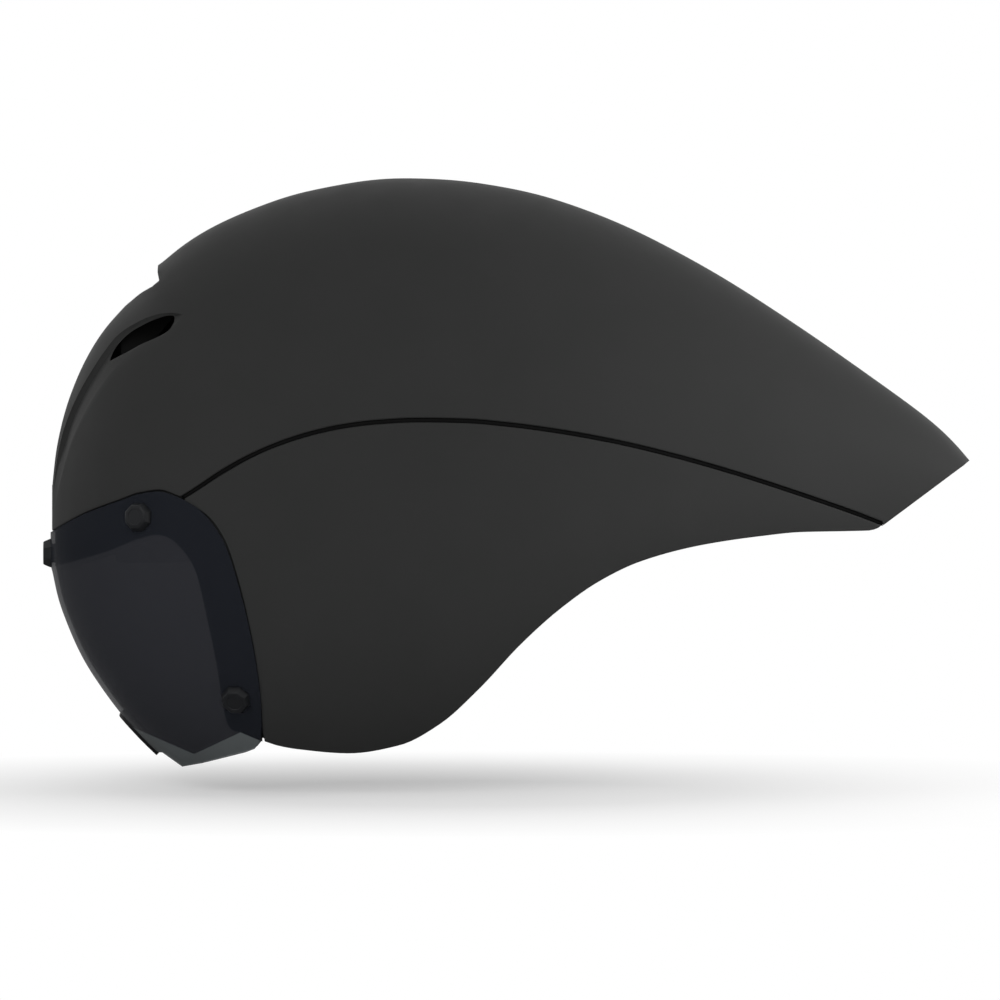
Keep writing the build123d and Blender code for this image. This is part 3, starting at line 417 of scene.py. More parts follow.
class Value:
    """A shader socket in a sum. Each operator adds one Math node."""

    def __init__(self, tree, socket):
        self.tree, self.socket = tree, socket

    def node(self, kind, inputs, output=0, **settings):
        """Adds a node: its settings first, then the numbers or links of its sockets."""
        made = self.tree.nodes.new(kind)
        for key, value in settings.items():
            setattr(made, key, value)
        for key, value in inputs.items():
            if isinstance(value, Value):
                self.tree.links.new(value.socket, made.inputs[key])
            else:
                made.inputs[key].default_value = value
        return Value(self.tree, made.outputs[output])

    def maths(self, operation, one, two=0.0):
        return self.node("ShaderNodeMath", {0: one, 1: two}, operation=operation)

    def __add__(self, other):
        return self.maths("ADD", self, other)

    def __sub__(self, other):
        return self.maths("SUBTRACT", self, other)

    def __mul__(self, other):
        return self.maths("MULTIPLY", self, other)

    def clamped(self):
        return self.node("ShaderNodeClamp", {0: self})

    def noise(self, scale, detail=2.0):
        return self.node("ShaderNodeTexNoise", {"Vector": self, "Scale": scale, "Detail": detail})

    def cells(self, scale):
        return self.node("ShaderNodeTexVoronoi", {"Vector": self, "Scale": scale})

    def wave(self, scale, direction):
        return self.node("ShaderNodeTexWave", {"Vector": self, "Scale": scale}, 1, bands_direction=direction)

    def blend(self, one, two):
        """Colour between two colours, greys or sockets, with this as the factor."""
        one, two = (colour if isinstance(colour, Value) else (*(np.ones(3) * colour).tolist(), 1)
                    for colour in (one, two))
        return self.node("ShaderNodeMix", {0: self, 6: one, 7: two}, 2, data_type="RGBA")


def finish(name, colour, second, roughness, relief, texture, tint=None, coords="Object", **constants):
    """Material: colour varies to a second one with tint, roughness is (low, high), texture gives the relief.

    texture and tint are functions of the coordinates, or texture is the scale of an even grain. relief is the
    bump's height in metres.
    """
    material = bpy.data.materials.new(name)
    material.use_nodes = True
    tree = material.node_tree
    shader = tree.nodes["Principled BSDF"]
    place = Value(tree, tree.nodes.new("ShaderNodeTexCoord").outputs[coords])
    spot = tint(place) if tint else place.noise(38, 3)
    low, high = roughness
    uneven = place.noise(90 if coords == "Object" else 6, 3) * (high - low) + low
    grain = texture(place) if callable(texture) else place.noise(texture)
    bump = place.node("ShaderNodeBump", {"Strength": 1.0, "Distance": relief, "Height": grain})
    for key, value in (("Base Color", spot.blend(colour, second)), ("Roughness", uneven), ("Normal", bump)):
        tree.links.new(value.socket, shader.inputs[key])
    for key, value in constants.items():
        shader.inputs[key.replace("_", " ")].default_value = value
    return material


def dress(piece, material, body, slot, *replaced):
    """Gives a piece its material, the body it rides on and the CAD nodes it stands for."""
    piece.data.materials.clear()
    piece.data.materials.append(material)
    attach(piece, body)
    if replaced:
        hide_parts(*replaced)
    return piece


def paint_grain(at):
    """Fine orange peel of sprayed matte paint with a little dust."""
    return at.noise(2600, 2) * 0.7 + at.noise(700, 2) * 0.5


def shell_low(across):
    """Height of the upper shell's lower edge: lens top, groove, then the tail's slanted cut."""
    over_lens = height(lens_top_pixels, across) + lens_gap
    over_groove = height(groove_pixels, across) + groove_half
    (x_low, down_low), (x_high, down_high) = tail_corner_pixel, tail_tip_pixel
    cut = side(0, down_low + (down_high - down_low) * (across - x_low) / (x_high - x_low))[1]
    return np.where(across <= lens_end_pixel, over_lens, np.where(across < x_low, over_groove, cut))


shell_stations = np.concatenate([
    brow_pixel + 47.5 * np.linspace(0, 1, 36) ** 1.7, np.arange(101.4, 158, 1.4),
    [159.2, scoop_lip_pixel - 0.4, scoop_lip_pixel], np.arange(161.4, 184, 1.5), np.linspace(186, 880, 94),
    [881.6, 882.4], np.linspace(886, 964, 16), [967, 969.5, 971.8]])
side_columns, channel_columns, foot_columns, crown_columns = 26, 9, 2, 52


def shell_grid(inset):
    """Arches from edge to edge, with rows along the channel's ridge and outer line."""
    x = layer_x(shell_stations, inset)
    low = turn_at(x, shell_low(shell_stations), inset)
    behind = shell_stations > channel_end_pixel
    last = np.argmax(behind) - 1
    stops = []
    for knots in (outer_pixels, ridge_pixels):
        turn = turn_at(x, height(knots, np.minimum(shell_stations, channel_end_pixel)), inset)
        stops.append(np.where(behind, turn[last] / low[last] * low, turn))
    outer, ridge = stops
    foot = ridge + 0.06 * (outer - ridge)
    turns = spread(x, inset, [-low, -outer, -foot, -ridge, ridge, foot, outer, low],
                   [side_columns, channel_columns, foot_columns, crown_columns, foot_columns, channel_columns,
                    side_columns], [1.7, 1, 1, 1, 1, 1, 1 / 1.7])
    points = on_form(x, turns, inset)
    cut = np.maximum(points[..., 2], shell_low(shell_stations)[:, None])
    points[..., 2] = np.where(shell_stations[:, None] > cut_from_pixel, cut, points[..., 2])
    channel = np.concatenate([np.linspace(0, 1, channel_columns + 1) ** 0.8, [0.8, 0.0]])
    in_channel = np.zeros(turns.shape)
    in_channel[:, side_columns:side_columns + len(channel)] = channel
    in_channel[:, -side_columns - 1:-side_columns - 1 - len(channel):-1] = channel
    fade = np.interp(shell_stations, [54, 62, 176, 184], [0, 1, 1, 0])[:, None]
    deep = np.interp(shell_stations, [110, 130], [channel_depth, vent_depth])[:, None]
    return pushed(points, in_channel * fade * deep + rim_depth(points) * (inset == 0))


def scooped(points, drop, stations):
    """The crown in front of the scoop lowered to its floor, and the lip drawn forward over it."""
    across = stations[:, None] + 0 * points[..., 0]
    floor = height(scoop_floor_pixels, across) - drop
    lip_start = scoop_lip_pixel - 0.2
    in_front = (across > scoop_floor_pixels[0][0]) & (across < lip_start)
    inside = in_front & (np.abs(points[..., 1]) < scoop_half)
    points[..., 2] = np.where(inside, np.minimum(points[..., 2], floor), points[..., 2])
    edge = np.clip((scoop_half - 2 * mm - np.abs(points[..., 1])) / (5 * mm), 0, 1)
    behind = np.where(across >= lip_start, np.exp(-(across - scoop_lip_pixel) / 4), 0)
    points[..., 0] -= scoop_reach * behind * edge
    return points


def rest_behind_lens():
    """Rest under the lens's upper edge: a strip of the form between the lap and the brow edge."""
    across = np.concatenate([brow_pixel + 40 * np.linspace(0, 1, 20) ** 1.7, np.linspace(95, 184, 34)])
    sheets = []
    for inset in (rest_outside, rest_inside):
        x = layer_x(across, inset)
        top = height(lens_top_pixels, np.minimum(across, lens_end_pixel)) + rest_lap
        low = np.minimum(height(brow_edge_pixels, across), height(lens_top_pixels, across))
        strip = strip_between(x, inset, (top, low), (12,))
        sheets.append([prow(strip * (1, hand, 1)) for hand in (1, -1)])
    return [wall(outer, inner, True) for outer, inner in zip(*sheets)]


def scoop_block(inset):
    """One face of the thickening under the scoop, as wide as its block at every station."""
    across = np.linspace(122, 200, 50)
    x = side(across, 0)[0]
    reach = np.arcsin((scoop_block_half / lines_at(x, inset)[2]) ** (crown_power / 2))
    return scooped(on_form(x, reach[:, None] * np.linspace(-1, 1, 41), inset), inset, across)


def scoop_duct():
    """Crescent duct behind the lip: from the scoop's floor up to the shell's inner face."""
    across = np.linspace(150, 206, 20)
    y = np.linspace(-scoop_duct_half, scoop_duct_half, 25)
    x = side(across, 0)[0]
    crown, _, plan, waist = (line[:, None] for line in lines_at(x, duct_inset))
    roof = waist + (crown - waist) * (1 - (np.abs(y) / plan) ** crown_power) ** (1 / crown_power)
    floor = height(duct_floor_pixels, across)[:, None] + 0 * y
    roof = np.maximum(roof, floor + 0.05 * mm)
    sheets = [np.stack(np.broadcast_arrays(x[:, None], y, z), -1) for z in (roof, floor)]
    return make("cutter", *wall(*sheets))


shell_paint, cover_paint = (
    finish(name, (0.046, 0.047, 0.046), 0.052, (0.46, 0.58), 0.02 * mm, paint_grain, Specular_IOR_Level=0.02)
    for name in ("charcoal_paint", "cover_paint"))
shell_outer, shell_inner = (scooped(shell_grid(inset), inset, shell_stations) for inset in (0.0, shell_wall))
upper_shell = make("shell_skin", *wall(prow(shell_outer), prow(shell_inner), True))
vent_line = flowing(vent_pixels, 90)
vent_cuts = [prism(vent_line, *sorted((hand * 15 * mm, hand * 110 * mm))) for hand in (-1, 1)]
carve(upper_shell, *vent_cuts, scoop_duct())
dress(upper_shell, shell_paint, "helmet", "shell_charcoal", "upper_shell")
shell_rest = make("shell_lens_rest", *joined(*rest_behind_lens(), boss(0), boss(1), boss(2)))
dress(shell_rest, shell_paint, "helmet", "shell_charcoal")
# The block under the scoop is bare black plastic. Its near-black colour is also painted shade for the inside
# of the vent slots and the duct.
thickening = make("shell_scoop_block", *layers(scoop_block, shell_wall, scoop_block_depth))
bare_plastic_and_painted_shade = finish("bare_plastic_and_painted_shade", 0.005, 0.008, (0.6, 0.75), 0.01 * mm, 1500, Specular_IOR_Level=0.1)
dress(carve(thickening, scoop_duct()), bare_plastic_and_painted_shade, "helmet", "shell_charcoal")

# Side covers: lower skins of the same plastic over the ears, pushed onto pins in the foam.
# Each one has its own rest for the lens along its front, with one magnet seat.
lens_rear_pixels = [
    (183, 499.5), (210, 518), (226, 542), (242, 590), (251, 627), (258, 664), (262.5, 701), (264.2, 731),
    (266, 740)]
hem_pixels = [
    (266, 740), (280, 744.5), (300, 748), (350, 752), (400, 744), (440, 723), (480, 687), (520, 644),
    (560, 608), (600, 580), (640, 561), (700, 545), (760, 536), (800, 532), (850, 531), (868, 530.5),
    (877, 528), (880.5, 525.2)]
lens_foot_pixel, hem_end_pixel, cover_tip_pixel, rest_step = 266, 880.5, 879, 0.2 * mm
cover_front_pixels = [
    (150, 544), (164, 543), (184, 550), (197, 568), (208, 615), (216, 654), (228, 712), (240, 729),
    (263, 738)]


def cover_sheet(inset):
    """Arcs of the right cover from the groove down to the lens's rear edge, then to the hem."""
    across = np.concatenate([np.linspace(187, 240, 40), np.linspace(241, 266, 46), np.linspace(268, 300, 14),
                             np.linspace(306, 862, 80), [868, 873, 877, 879.5, 880.5]])
    x = side(across, 0)[0]
    top = height(groove_pixels, np.minimum(across, cover_tip_pixel)) - groove_half
    by_lens = height(lens_rear_pixels, np.clip(across, lens_end_pixel, lens_foot_pixel)) + lens_gap / 2
    by_hem = height(hem_pixels, np.clip(across, lens_foot_pixel, hem_end_pixel))
    foot = np.minimum(np.where(across < lens_foot_pixel, by_lens, by_hem), top - 0.1 * mm)
    x = x + (across < lens_foot_pixel) * lens_gap * np.interp(across, [184, 226, lens_foot_pixel], [0, 1, 0])
    points = strip_between(x, inset, (top, (top + foot) / 2, foot), (30, 30), (1.6, 1 / 1.6))
    return pushed(points, rim_depth(points) * (inset == 0))


def cover_rest(inset):
    """Rest behind the lens's rear edge, from the lap in to the eye port."""
    across = np.concatenate([np.linspace(152, 230, 34), np.linspace(232, 262, 26)])
    x = side(across, 0)[0]
    rear = np.array(lens_rear_pixels, float)
    by_lens = smooth([(150, 541)] + [(max(px + 6.5, 158), down - 3) for px, down in rear[1:]], across)
    by_groove = smooth([(150, 540), (165, 517), (185, 499.5), (300, 440)], across)
    top = side(0, np.maximum(by_lens, by_groove))[1]
    foot = np.minimum(height(cover_front_pixels, across), top - rest_step)
    return strip_between(x, inset, (top, foot), (16,))


hands = ((-1, "left"), (1, "right"))
for number, (hand, name) in enumerate(hands, 3):
    skin, rest = layers(cover_sheet, 0, shell_wall, hand), layers(cover_rest, rest_outside, rest_inside, hand)
    cover = make(name + "_cover_skin", *joined(skin, rest, boss(number)))
    dress(cover, cover_paint, "helmet", "cover_charcoal", name + "_side_cover")

# Seam seals: black rubber strips pressed into the grooves between the shell and the covers.
# They stop the air at the joint and lie a little under the skin on both sides.
seal_top, seal_half, seal_crown = 1.2 * mm, 0.85 * mm, 0.25 * mm
seal_rubber = finish("seal_rubber", 0.003, 0.006, (0.7, 0.9), 0.01 * mm, 1500, Specular_IOR_Level=0.1)


def seal_sheet(inset):
    """Strip along the groove, its outer face crowned across."""
    across = np.linspace(186, 881.5, 150)
    middle = height(groove_pixels, across)
    grid = strip_between(side(across, 0)[0], inset, (middle + seal_half, middle - seal_half), (6,))
    crowned = -seal_crown * (1 - np.linspace(-1, 1, 7) ** 2) * (inset == seal_top)
    return pushed(grid, crowned + 0 * grid[..., 0])


for hand, name in hands:
    strip = make(name + "_seal_strip", *layers(seal_sheet, seal_top, shell_wall, hand))
    dress(strip, seal_rubber, "helmet", "seal_black", name + "_seam_seal")

# Foam liner: moulded bead foam with the head cavity, air ducts and the pocket for the fit system.
# Its surface shows the fused beads. The covers' nylon push pins and the temple pins sit in it.
nodes, bead_scale = frame["nodes"], 330


def dress_node(material, *names):
    """A better material for CAD nodes that stay as they are."""
    for name in names:
        mesh = nodes[name].data
        mesh.materials.clear()
        mesh.materials.append(material)


def bead_relief(at):
    """Rounded beads about 3 mm across, pressed into each other."""
    return at.cells(bead_scale) * -1.0 + at.noise(900) * 0.2


bead_foam = finish("bead_foam", (0.018, 0.018, 0.019), (0.030, 0.030, 0.031), (0.75, 0.9), 0.35 * mm,
                   bead_relief, lambda at: at.cells(bead_scale))
pin_nylon = finish("pin_nylon", 0.012, 0.020, (0.5, 0.6), 0.02 * mm, 1200)
dress_node(bead_foam, "foam_liner")
dress_node(pin_nylon, "cover_push_pins", "temple_pins")

# Magnets: nickel-plated discs, five in the seats behind the lens and five in the studs' shanks.
# They are glued in and hold the lens by pull alone.
nickel = finish("nickel_plate", (0.60, 0.59, 0.56), (0.68, 0.67, 0.64), (0.22, 0.34), 0.003 * mm, 2000,
                Metallic=1.0)
dress_node(nickel, "shell_magnets", "stud_magnets")

# Goggle lens: one smoke polycarbonate shield that wraps round the face from ear to ear.
# It is moulded, hard-coated and polished, with a nose notch cut in its lower edge.
lens_inside, cut_reach = 1.2 * mm, 200 * mm
lens_edge_pixels = [*lens_top_pixels[:-1], (172, 494), (183, 498.5), (196, 505.5), *lens_rear_pixels[1:7],
                    (264, 731)]
below_lens_pixels = [
    (100, 752), (163, 752), (183, 766), (204, 762), (247, 751), (256, 747.5), (260.5, 742), (263.2, 731),
    (280, 731), (280, 900), (100, 900)]
nose_radius, nose_top_down, nose_spread, notch_depth = 10.5 * mm, 713, 7 * mm, 140 * mm
# Below these lines the lens gets a pale colour: the painted white backdrop seen through its clear lower edge.
backdrop_strip_lines = (((195.5, 753), (242, 731)), ((242, 731), (261, 739)), ((167, 741), (195.5, 753)))
window_top_pixels = [
    (30, 576), (53, 567), (81, 559.5), (112, 550), (132, 542), (150, 536), (163, 535), (175, 540), (187, 552),
    (196.8, 568), (204, 592), (212, 629), (219.8, 667.5), (223.6, 696), (226.5, 713), (229.4, 723),
    (234, 728.7), (242, 731)]
window_foot_pixels = [(261, 739), (290, 751), (290, 900), (30, 900)]


def visor_sheet(inset):
    """Rings from the lens's top edge on one side, under the keel, to its top edge on the other."""
    across = np.concatenate([brow_pixel + 40 * np.linspace(0, 1, 34) ** 1.8, np.arange(94.5, 240, 2.4),
                             np.linspace(240, 263.8, 24)])
    x = layer_x(across, inset)
    top = turn_at(x, height(lens_edge_pixels, across), inset)
    under = np.full(len(x), math.pi)
    turns = spread(x, inset, [top, under, 2 * math.pi - top], [52, 52], [1, 1])
    return prow(on_form(x, turns, inset))


def lens_zones(points):
    """UV of the lens: how far inside the window and below the strip's lines a point is, in pixels. These mask
    the lens's painted light seen through it.
    """
    across, down = points[:, 0] / pixel_across + origin_across, origin_down - points[:, 2] / pixel_down
    ring = np.concatenate([flowing(window_top_pixels, 120, False), window_foot_pixels])
    first, run = ring[:, None], (np.roll(ring, -1, 0) - ring)[:, None]
    spot = np.stack([across, down], 1)[None]
    along = np.clip(((spot - first) * run).sum(-1) / (run ** 2).sum(-1), 0, 1)
    reach = np.linalg.norm(spot - first - along[..., None] * run, axis=-1).min(0)
    crossed = (first[..., 1] > spot[..., 1]) != ((first + run)[..., 1] > spot[..., 1])
    rise = np.where(run[..., 1] == 0, 1, run[..., 1])
    ahead = spot[..., 0] < first[..., 0] + run[..., 0] * (spot[..., 1] - first[..., 1]) / rise
    inside = (crossed & ahead).sum(0) % 2 * 2 - 1
    below = [down - (b[1] - a[1]) / (b[0] - a[0]) * (across - a[0]) - a[1] for a, b in backdrop_strip_lines]
    return np.stack([reach * inside, np.maximum(np.minimum(below[0], below[1]), below[2])], 1)


def nose_notch():
    """Cutter from the front in the shape of an arch: a half circle over two legs that spread."""
    top, low = side(0, nose_top_down)[1], -notch_depth
    turn = np.linspace(0, math.pi, 25)
    y = np.concatenate([nose_radius * np.cos(turn), [-nose_radius - nose_spread, nose_radius + nose_spread]])
    z = np.concatenate([top - nose_radius + nose_radius * np.sin(turn), [low, low]])
    return cutter(*(np.stack([np.full(len(y), x), y, z], 1) for x in (-cut_reach, 0.0)))


lens_points, lens_faces = wall(visor_sheet(-lens_proud), visor_sheet(lens_inside), True)
lens = make("smoke_lens", lens_points, lens_faces, lens_zones(lens_points))
carve(lens, prism(below_lens_pixels, -cut_reach, cut_reach), nose_notch())


def zone(at, number):
    """1 on the far side of a zone's edge, from one of the lens's two UV distances: a mask of the lens's
    painted see-through light.
    """
    return (at.node("ShaderNodeSeparateXYZ", {0: at}, number) + 0.5).clamped()


# The lens colour is painted lighter inside the window than over the border band. This is painted light seen
# through the clear window.
smoke = finish("smoke_polycarbonate", (0.026, 0.029, 0.037), (0.050, 0.052, 0.061), (0.22, 0.28), 0.002 * mm,
               4, lambda at: zone(at, 0), "UV", Alpha=0.8, Specular_IOR_Level=0.004)
lens_tree = smoke.node_tree
lens_colour = lens_tree.nodes["Principled BSDF"].inputs["Base Color"]
painted_window_light = Value(lens_tree, lens_colour.links[0].from_socket)
lens_uv = Value(lens_tree, lens_tree.nodes["Texture Coordinate"].outputs["UV"])
# Paler still along the bottom strip: painted backdrop light seen through the lens's clear lower edge.
with_painted_backdrop = zone(lens_uv, 1).blend(painted_window_light, (0.195, 0.215, 0.220))
lens_tree.links.new(with_painted_backdrop.socket, lens_colour)
dress(lens, smoke, "visor", "lens_smoke", "goggle_lens")

# Border band: a thin dark frame bonded inside the lens, which hides the rest and the seats.
# It is cut from black film round the window, down to the lens's rear corners.
band_outside, band_inside = 1.25 * mm, 1.6 * mm
window_pixels = [*flowing(window_top_pixels, 90, False), *window_foot_pixels]
band = make("dark_border", *wall(visor_sheet(band_outside), visor_sheet(band_inside), True))
carve(band, prism(window_pixels, -cut_reach, cut_reach))
border_film = finish("border_film", (0.0010, 0.0012, 0.0020), (0.0016, 0.0018, 0.0028), (0.3, 0.4),
                     0.003 * mm, 800)
dress(band, border_film, "visor", "band_black", "lens_border_band")

# Studs: five faceted caps whose shanks pass through the lens and carry its magnets.
# They are moulded in black acetal, eight-sided so that gloved fingers can grip them.
stud_profile = [
    (0, -2.2), (4, -2.2), (4, -0.3), (6.0, -0.3), (6.0, 0.3), (5.9, 0.55), (4.95, 2.6), (4.75, 2.85),
    (4.45, 3.0), (3.3, 3.0), (3.1, 2.8), (0, 2.8)]
stud_black = finish("stud_acetal", (0.012, 0.013, 0.015), (0.020, 0.021, 0.023), (0.24, 0.36), 0.01 * mm,
                    1600, Specular_IOR_Level=0.14)
caps = [turned([(r * mm, h * mm) for r, h in stud_profile], origin, normal, 8, math.pi / 8)
        for origin, normal in stud_frames(-lens_proud)]
dress(make("faceted_studs", *joined(*caps)), stud_black, "visor", "stud_black", "lens_studs")

# Nose bridge: a soft moulded rubber edge that rests on the rider's nose.
# It is pressed over the edge of the lens's notch, and comes off with the lens.
bridge_inset = 0.3 * mm
bridge_foot_down, bridge_half_thick, bridge_half_deep = 751, 1.1 * mm, 2.1 * mm


def bridge_path():
    """Line of the notch's edge on the lens: up one leg, over the arch and down the other."""
    top, foot = side(0, nose_top_down)[1], side(0, bridge_foot_down)[1]
    centre = top - nose_radius
    slope = nose_spread / (centre + notch_depth)
    turn = np.linspace(0, math.pi, 40)
    legs = np.linspace(foot, centre, 25)[:-1]
    leg_y = nose_radius + (centre - legs) * slope
    y = np.concatenate([leg_y, nose_radius * np.cos(turn), -leg_y[::-1]])
    z = np.concatenate([legs, centre + nose_radius * np.sin(turn), legs[::-1]])
    across = np.linspace(54, 200, 900)
    x = layer_x(across, bridge_inset)
    wide = form_side(x[None], z[:, None], bridge_inset) >= np.abs(y)[:, None]
    return np.stack([x[wide.argmax(1)], y, z], 1)


def swept(path, section, out):
    """Closed tube: a section of (sideways, outward) places along a path, outward near the given way."""
    heading = unit(np.gradient(path, axis=0))
    across = unit(np.cross(heading, out))
    up = np.cross(across, heading)
    grid = path[:, None] + section[None, :, :1] * across[:, None] + section[None, :, 1:] * up[:, None]
    first, last = (np.broadcast_to(path[k], (1, *grid.shape[1:])) for k in (0, -1))
    return tube(np.concatenate([first, grid, last]))


nose_rubber = finish("nose_rubber", 0.006, 0.010, (0.55, 0.7), 0.01 * mm, 1500, Specular_IOR_Level=0.2)
round_edge = full_turn(20)
edge_section = np.stack([bridge_half_thick * np.cos(round_edge), bridge_half_deep * np.sin(round_edge)], 1)
bridge = make("nose_edge", *swept(bridge_path(), edge_section, (-0.75, 0, -0.66)))
dress(bridge, nose_rubber, "visor", "nose_rubber", "nose_bridge")
dress_node(nose_rubber, "strap_keeper")

# Comfort pads: knit over soft foam, held in the head cavity and on the covers by hook patches.
# Each is crowned, drawn in at its rim, and sewn across in channels.
head_length, head_width, dome = 103.7 * mm, 79.7 * mm, 47 * mm
cloth_unit, pad_gap, seam_depth, seam_half = 10 * mm, 0.4 * mm, 1.2 * mm, 1.6 * mm
outline_power, pad_power, pad_crown, ripple_depth = 5.0, 3.4, 0.09, 0.12 * mm


def rounded(half_u, half_v, count=96):
    """Outline of a rounded rectangle: a superellipse of high power."""
    turn = full_turn(count)
    u, v = (signed_power(f, 2 / outline_power) for f in (np.cos(turn), np.sin(turn)))
    return np.stack([half_u * u, half_v * v * (1 - 0.05 * (1 - u ** 2))], 1)


def cushion(name, outline, seat, thick, channels, direction):
    """Closed pad on a seat: rings of the outline, drawn in at the rim and crowned in the middle.

    Ring radius and height follow a superellipse from the crown, round the rim, to the flat back.
    channels are places along u or v where a seam pulls the face down.
    """
    phi = np.linspace(0, math.pi, 34)
    radius = np.abs(np.sin(phi)) ** (2 / pad_power)
    tall = 0.46 * (1 + signed_power(np.cos(phi), 2 / pad_power))
    middle = outline.mean(0)
    spots = middle + radius[:, None, None] * (outline - middle)[None]
    crown = 1 + pad_crown * (1 - radius[:, None] ** 2)
    lift = thick * tall[:, None] * crown * np.ones(len(outline))
    face = np.clip(tall[:, None] * 2 - 1, 0, 1)
    for place in channels:
        lift = lift - seam_depth * face * np.exp(-((spots[..., direction] - place) / seam_half) ** 2)
    ripple = ripple_depth * np.sin(spots[..., 0] / (4.3 * mm)) * np.sin(spots[..., 1] / (3.7 * mm))
    points = seat(spots[..., 0], spots[..., 1], lift + ripple * face)
    return make(name, *tube(points), spots.reshape(-1, 2) / cloth_unit)


def on_wall(middle, length=head_length, width=head_width, hand=1):
    """Seat on the cavity's wall: u runs round the ellipse from a middle angle, v up, w inward."""
    def place(u, v, w):
        angle = middle + u / (0.5 * (length + width))
        return np.stack([(length - w) * np.cos(angle), hand * (width - w) * np.sin(angle), v + 0 * u], -1)
    return place


def on_dome(u, v, w):
    """Seat on the cavity's roof: u runs from front to back, v across, w inward."""
    along = u / (0.5 * (head_length + head_width))
    tilt = v / (head_width * np.cos(along))
    return np.stack([(head_length - w) * np.sin(along), (head_width - w) * np.cos(along) * np.sin(tilt),
                     dome + (head_width - w) * np.cos(along) * np.cos(tilt)], -1)


def on_cover(hand):
    """Seat inside a cover: u and v are x and z, w runs inward from the cover's inner face."""
    def place(u, v, w):
        y = form_side(u.ravel(), v.ravel(), shell_wall + pad_gap).reshape(u.shape) - w
        return np.stack([u, hand * y, v], -1)
    return place


def on_strap(u, v, w):
    """Seat under the chin strap: u runs along the helmet, v across it, w up."""
    return np.stack([u - 3 * mm, v + 27 * mm, w - 53.9 * mm], -1)


def knit(at):
    """Fine loops of knit cloth."""
    return at.wave(5.0, "X") * at.wave(5.0, "Y")


pad_knit = finish("pad_knit", (0.014, 0.014, 0.015), (0.024, 0.024, 0.026), (0.8, 0.95), 0.12 * mm, knit,
                  lambda at: at.noise(5, 4), "UV", Sheen_Weight=0.25)
ear_pixels = [
    (300, 622), (360, 616), (420, 622), (440, 660), (425, 700), (390, 722), (335, 726), (306, 700),
    (296, 660)]
ear_outline = np.stack(side(*flowing(ear_pixels, 72).T), 1)
pads = [
    ("brow", rounded(84 * mm, 12.8 * mm, 128) + (0, 17 * mm), on_wall(math.pi), 7, 24 * np.arange(-3, 4), 0),
    ("crown", rounded(54 * mm, 10.8 * mm), on_dome, 7, 18 * np.arange(-2, 3), 0),
    ("cradle", rounded(29 * mm, 9.8 * mm) + (0, 20 * mm), on_wall(0, 94.3 * mm, 70.3 * mm), 4, (-10, 10), 0),
    ("chin", rounded(7.4 * mm, 5.9 * mm, 48), on_strap, 3, (0,), 1),
]
for hand, name in hands:
    side_outline = rounded(25.5 * mm, 10.8 * mm) + (0, 35 * mm)
    pads += [(name + "_side", side_outline, on_wall(math.pi / 2, hand=hand), 7, (-9, 9), 0),
             (name + "_ear", ear_outline, on_cover(hand), 6.2, (), 0)]
for name, outline, seat, thick, seams, direction in pads:
    node = name + "_pad"
    body = "tongue" if name == "chin" else "helmet"
    pad = cushion(name + "_cushion", outline, seat, thick * mm, np.array(seams) * mm, direction)
    dress(pad, pad_knit, body, "pad_fabric", node)

# Fit system: nylon cradle on two hooks, with a knurled dial whose pinion draws in two racked bands.
# The bands' front ends slide on pins in the foam at the temples.
fit_nylon = finish("fit_nylon", (0.016, 0.016, 0.017), (0.026, 0.026, 0.027), (0.42, 0.55), 0.02 * mm,
                   lambda at: at.noise(1400) + at.cells(600) * 0.3)
dial_grip = finish("dial_grip", 0.010, 0.018, (0.6, 0.75), 0.03 * mm, 1100)
steel = finish("plain_steel", (0.42, 0.42, 0.43), 0.55, (0.26, 0.42), 0.004 * mm, 1800, Metallic=1.0)
dress_node(fit_nylon, "fit_cradle", "cradle_clips", "dial_shaft", "left_fit_band", "right_fit_band")


def dial_wheel(sides=288, grips=12, grip_width=0.25, grip_depth=1.5 * mm):
    """Closed profile of (radius, place along the shaft) turned about the shaft's line, tapered to the rear.

    Each grip is a scoop whose depth falls with the square of the turn from its middle.
    """
    low, high = (np.array(corner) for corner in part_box("fit_dial"))
    profile = np.array([(2.0, 0), (12.4, 0), (12.8, 0.5), (12.4, 1.9), (11.5, 4.6), (10.7, 7.2), (10.2, 7.8),
                        (9.6, 8.0), (3.2, 8.0), (3.2, 6.6), (2.0, 6.6)]) * mm
    turn = full_turn(sides)
    off_grip = (turn * grips / (2 * math.pi) + 0.5) % 1 - 0.5
    scoop = np.maximum(0, 1 - (off_grip / grip_width) ** 2) * grip_depth
    radius = profile[:, :1] - np.where(profile[:, :1] > 9 * mm, scoop, 0)
    points = np.stack([low[0] + profile[:, 1:] + 0 * radius, (low[1] + high[1]) / 2 + radius * np.cos(turn),
                       (low[2] + high[2]) / 2 + radius * np.sin(turn)], -1)
    return tube(points, ring=True)


dress(make("grip_wheel", *dial_wheel()), dial_grip, "dial", "dial_rubber", "fit_dial")
dress_node(steel, "dial_screw", "strap_rivets")

# Straps: flat woven polyester webbing, riveted inside the covers and drawn through the dividers.
# The chin strap ends in a sewn loop round the buckle tongue's bar.
web_width, web_thick = 15 * mm, 1.2 * mm
divider_x, divider_y, web_end_z, chin_z = -3 * mm, 52 * mm, -41 * mm, -50 * mm
anchor_gap, tab_length, strap_spread = 3.8 * mm, 14 * mm, 9.5 * mm


def ribbon(name, path, across):
    """Flat webbing along a path: a thin rounded section, wide along the given way."""
    turn = full_turn(24)
    wide = web_width / 2 * signed_power(np.cos(turn), 0.3)
    thin = web_thick / 2 * signed_power(np.sin(turn), 0.6)
    length = np.pad(run_along(path), 1, "edge")
    uv = np.stack(np.broadcast_arrays(wide, length[:, None]), -1) / cloth_unit
    return make(name, *swept(path, np.stack([thin, wide], 1), across), uv.reshape(-1, 2))


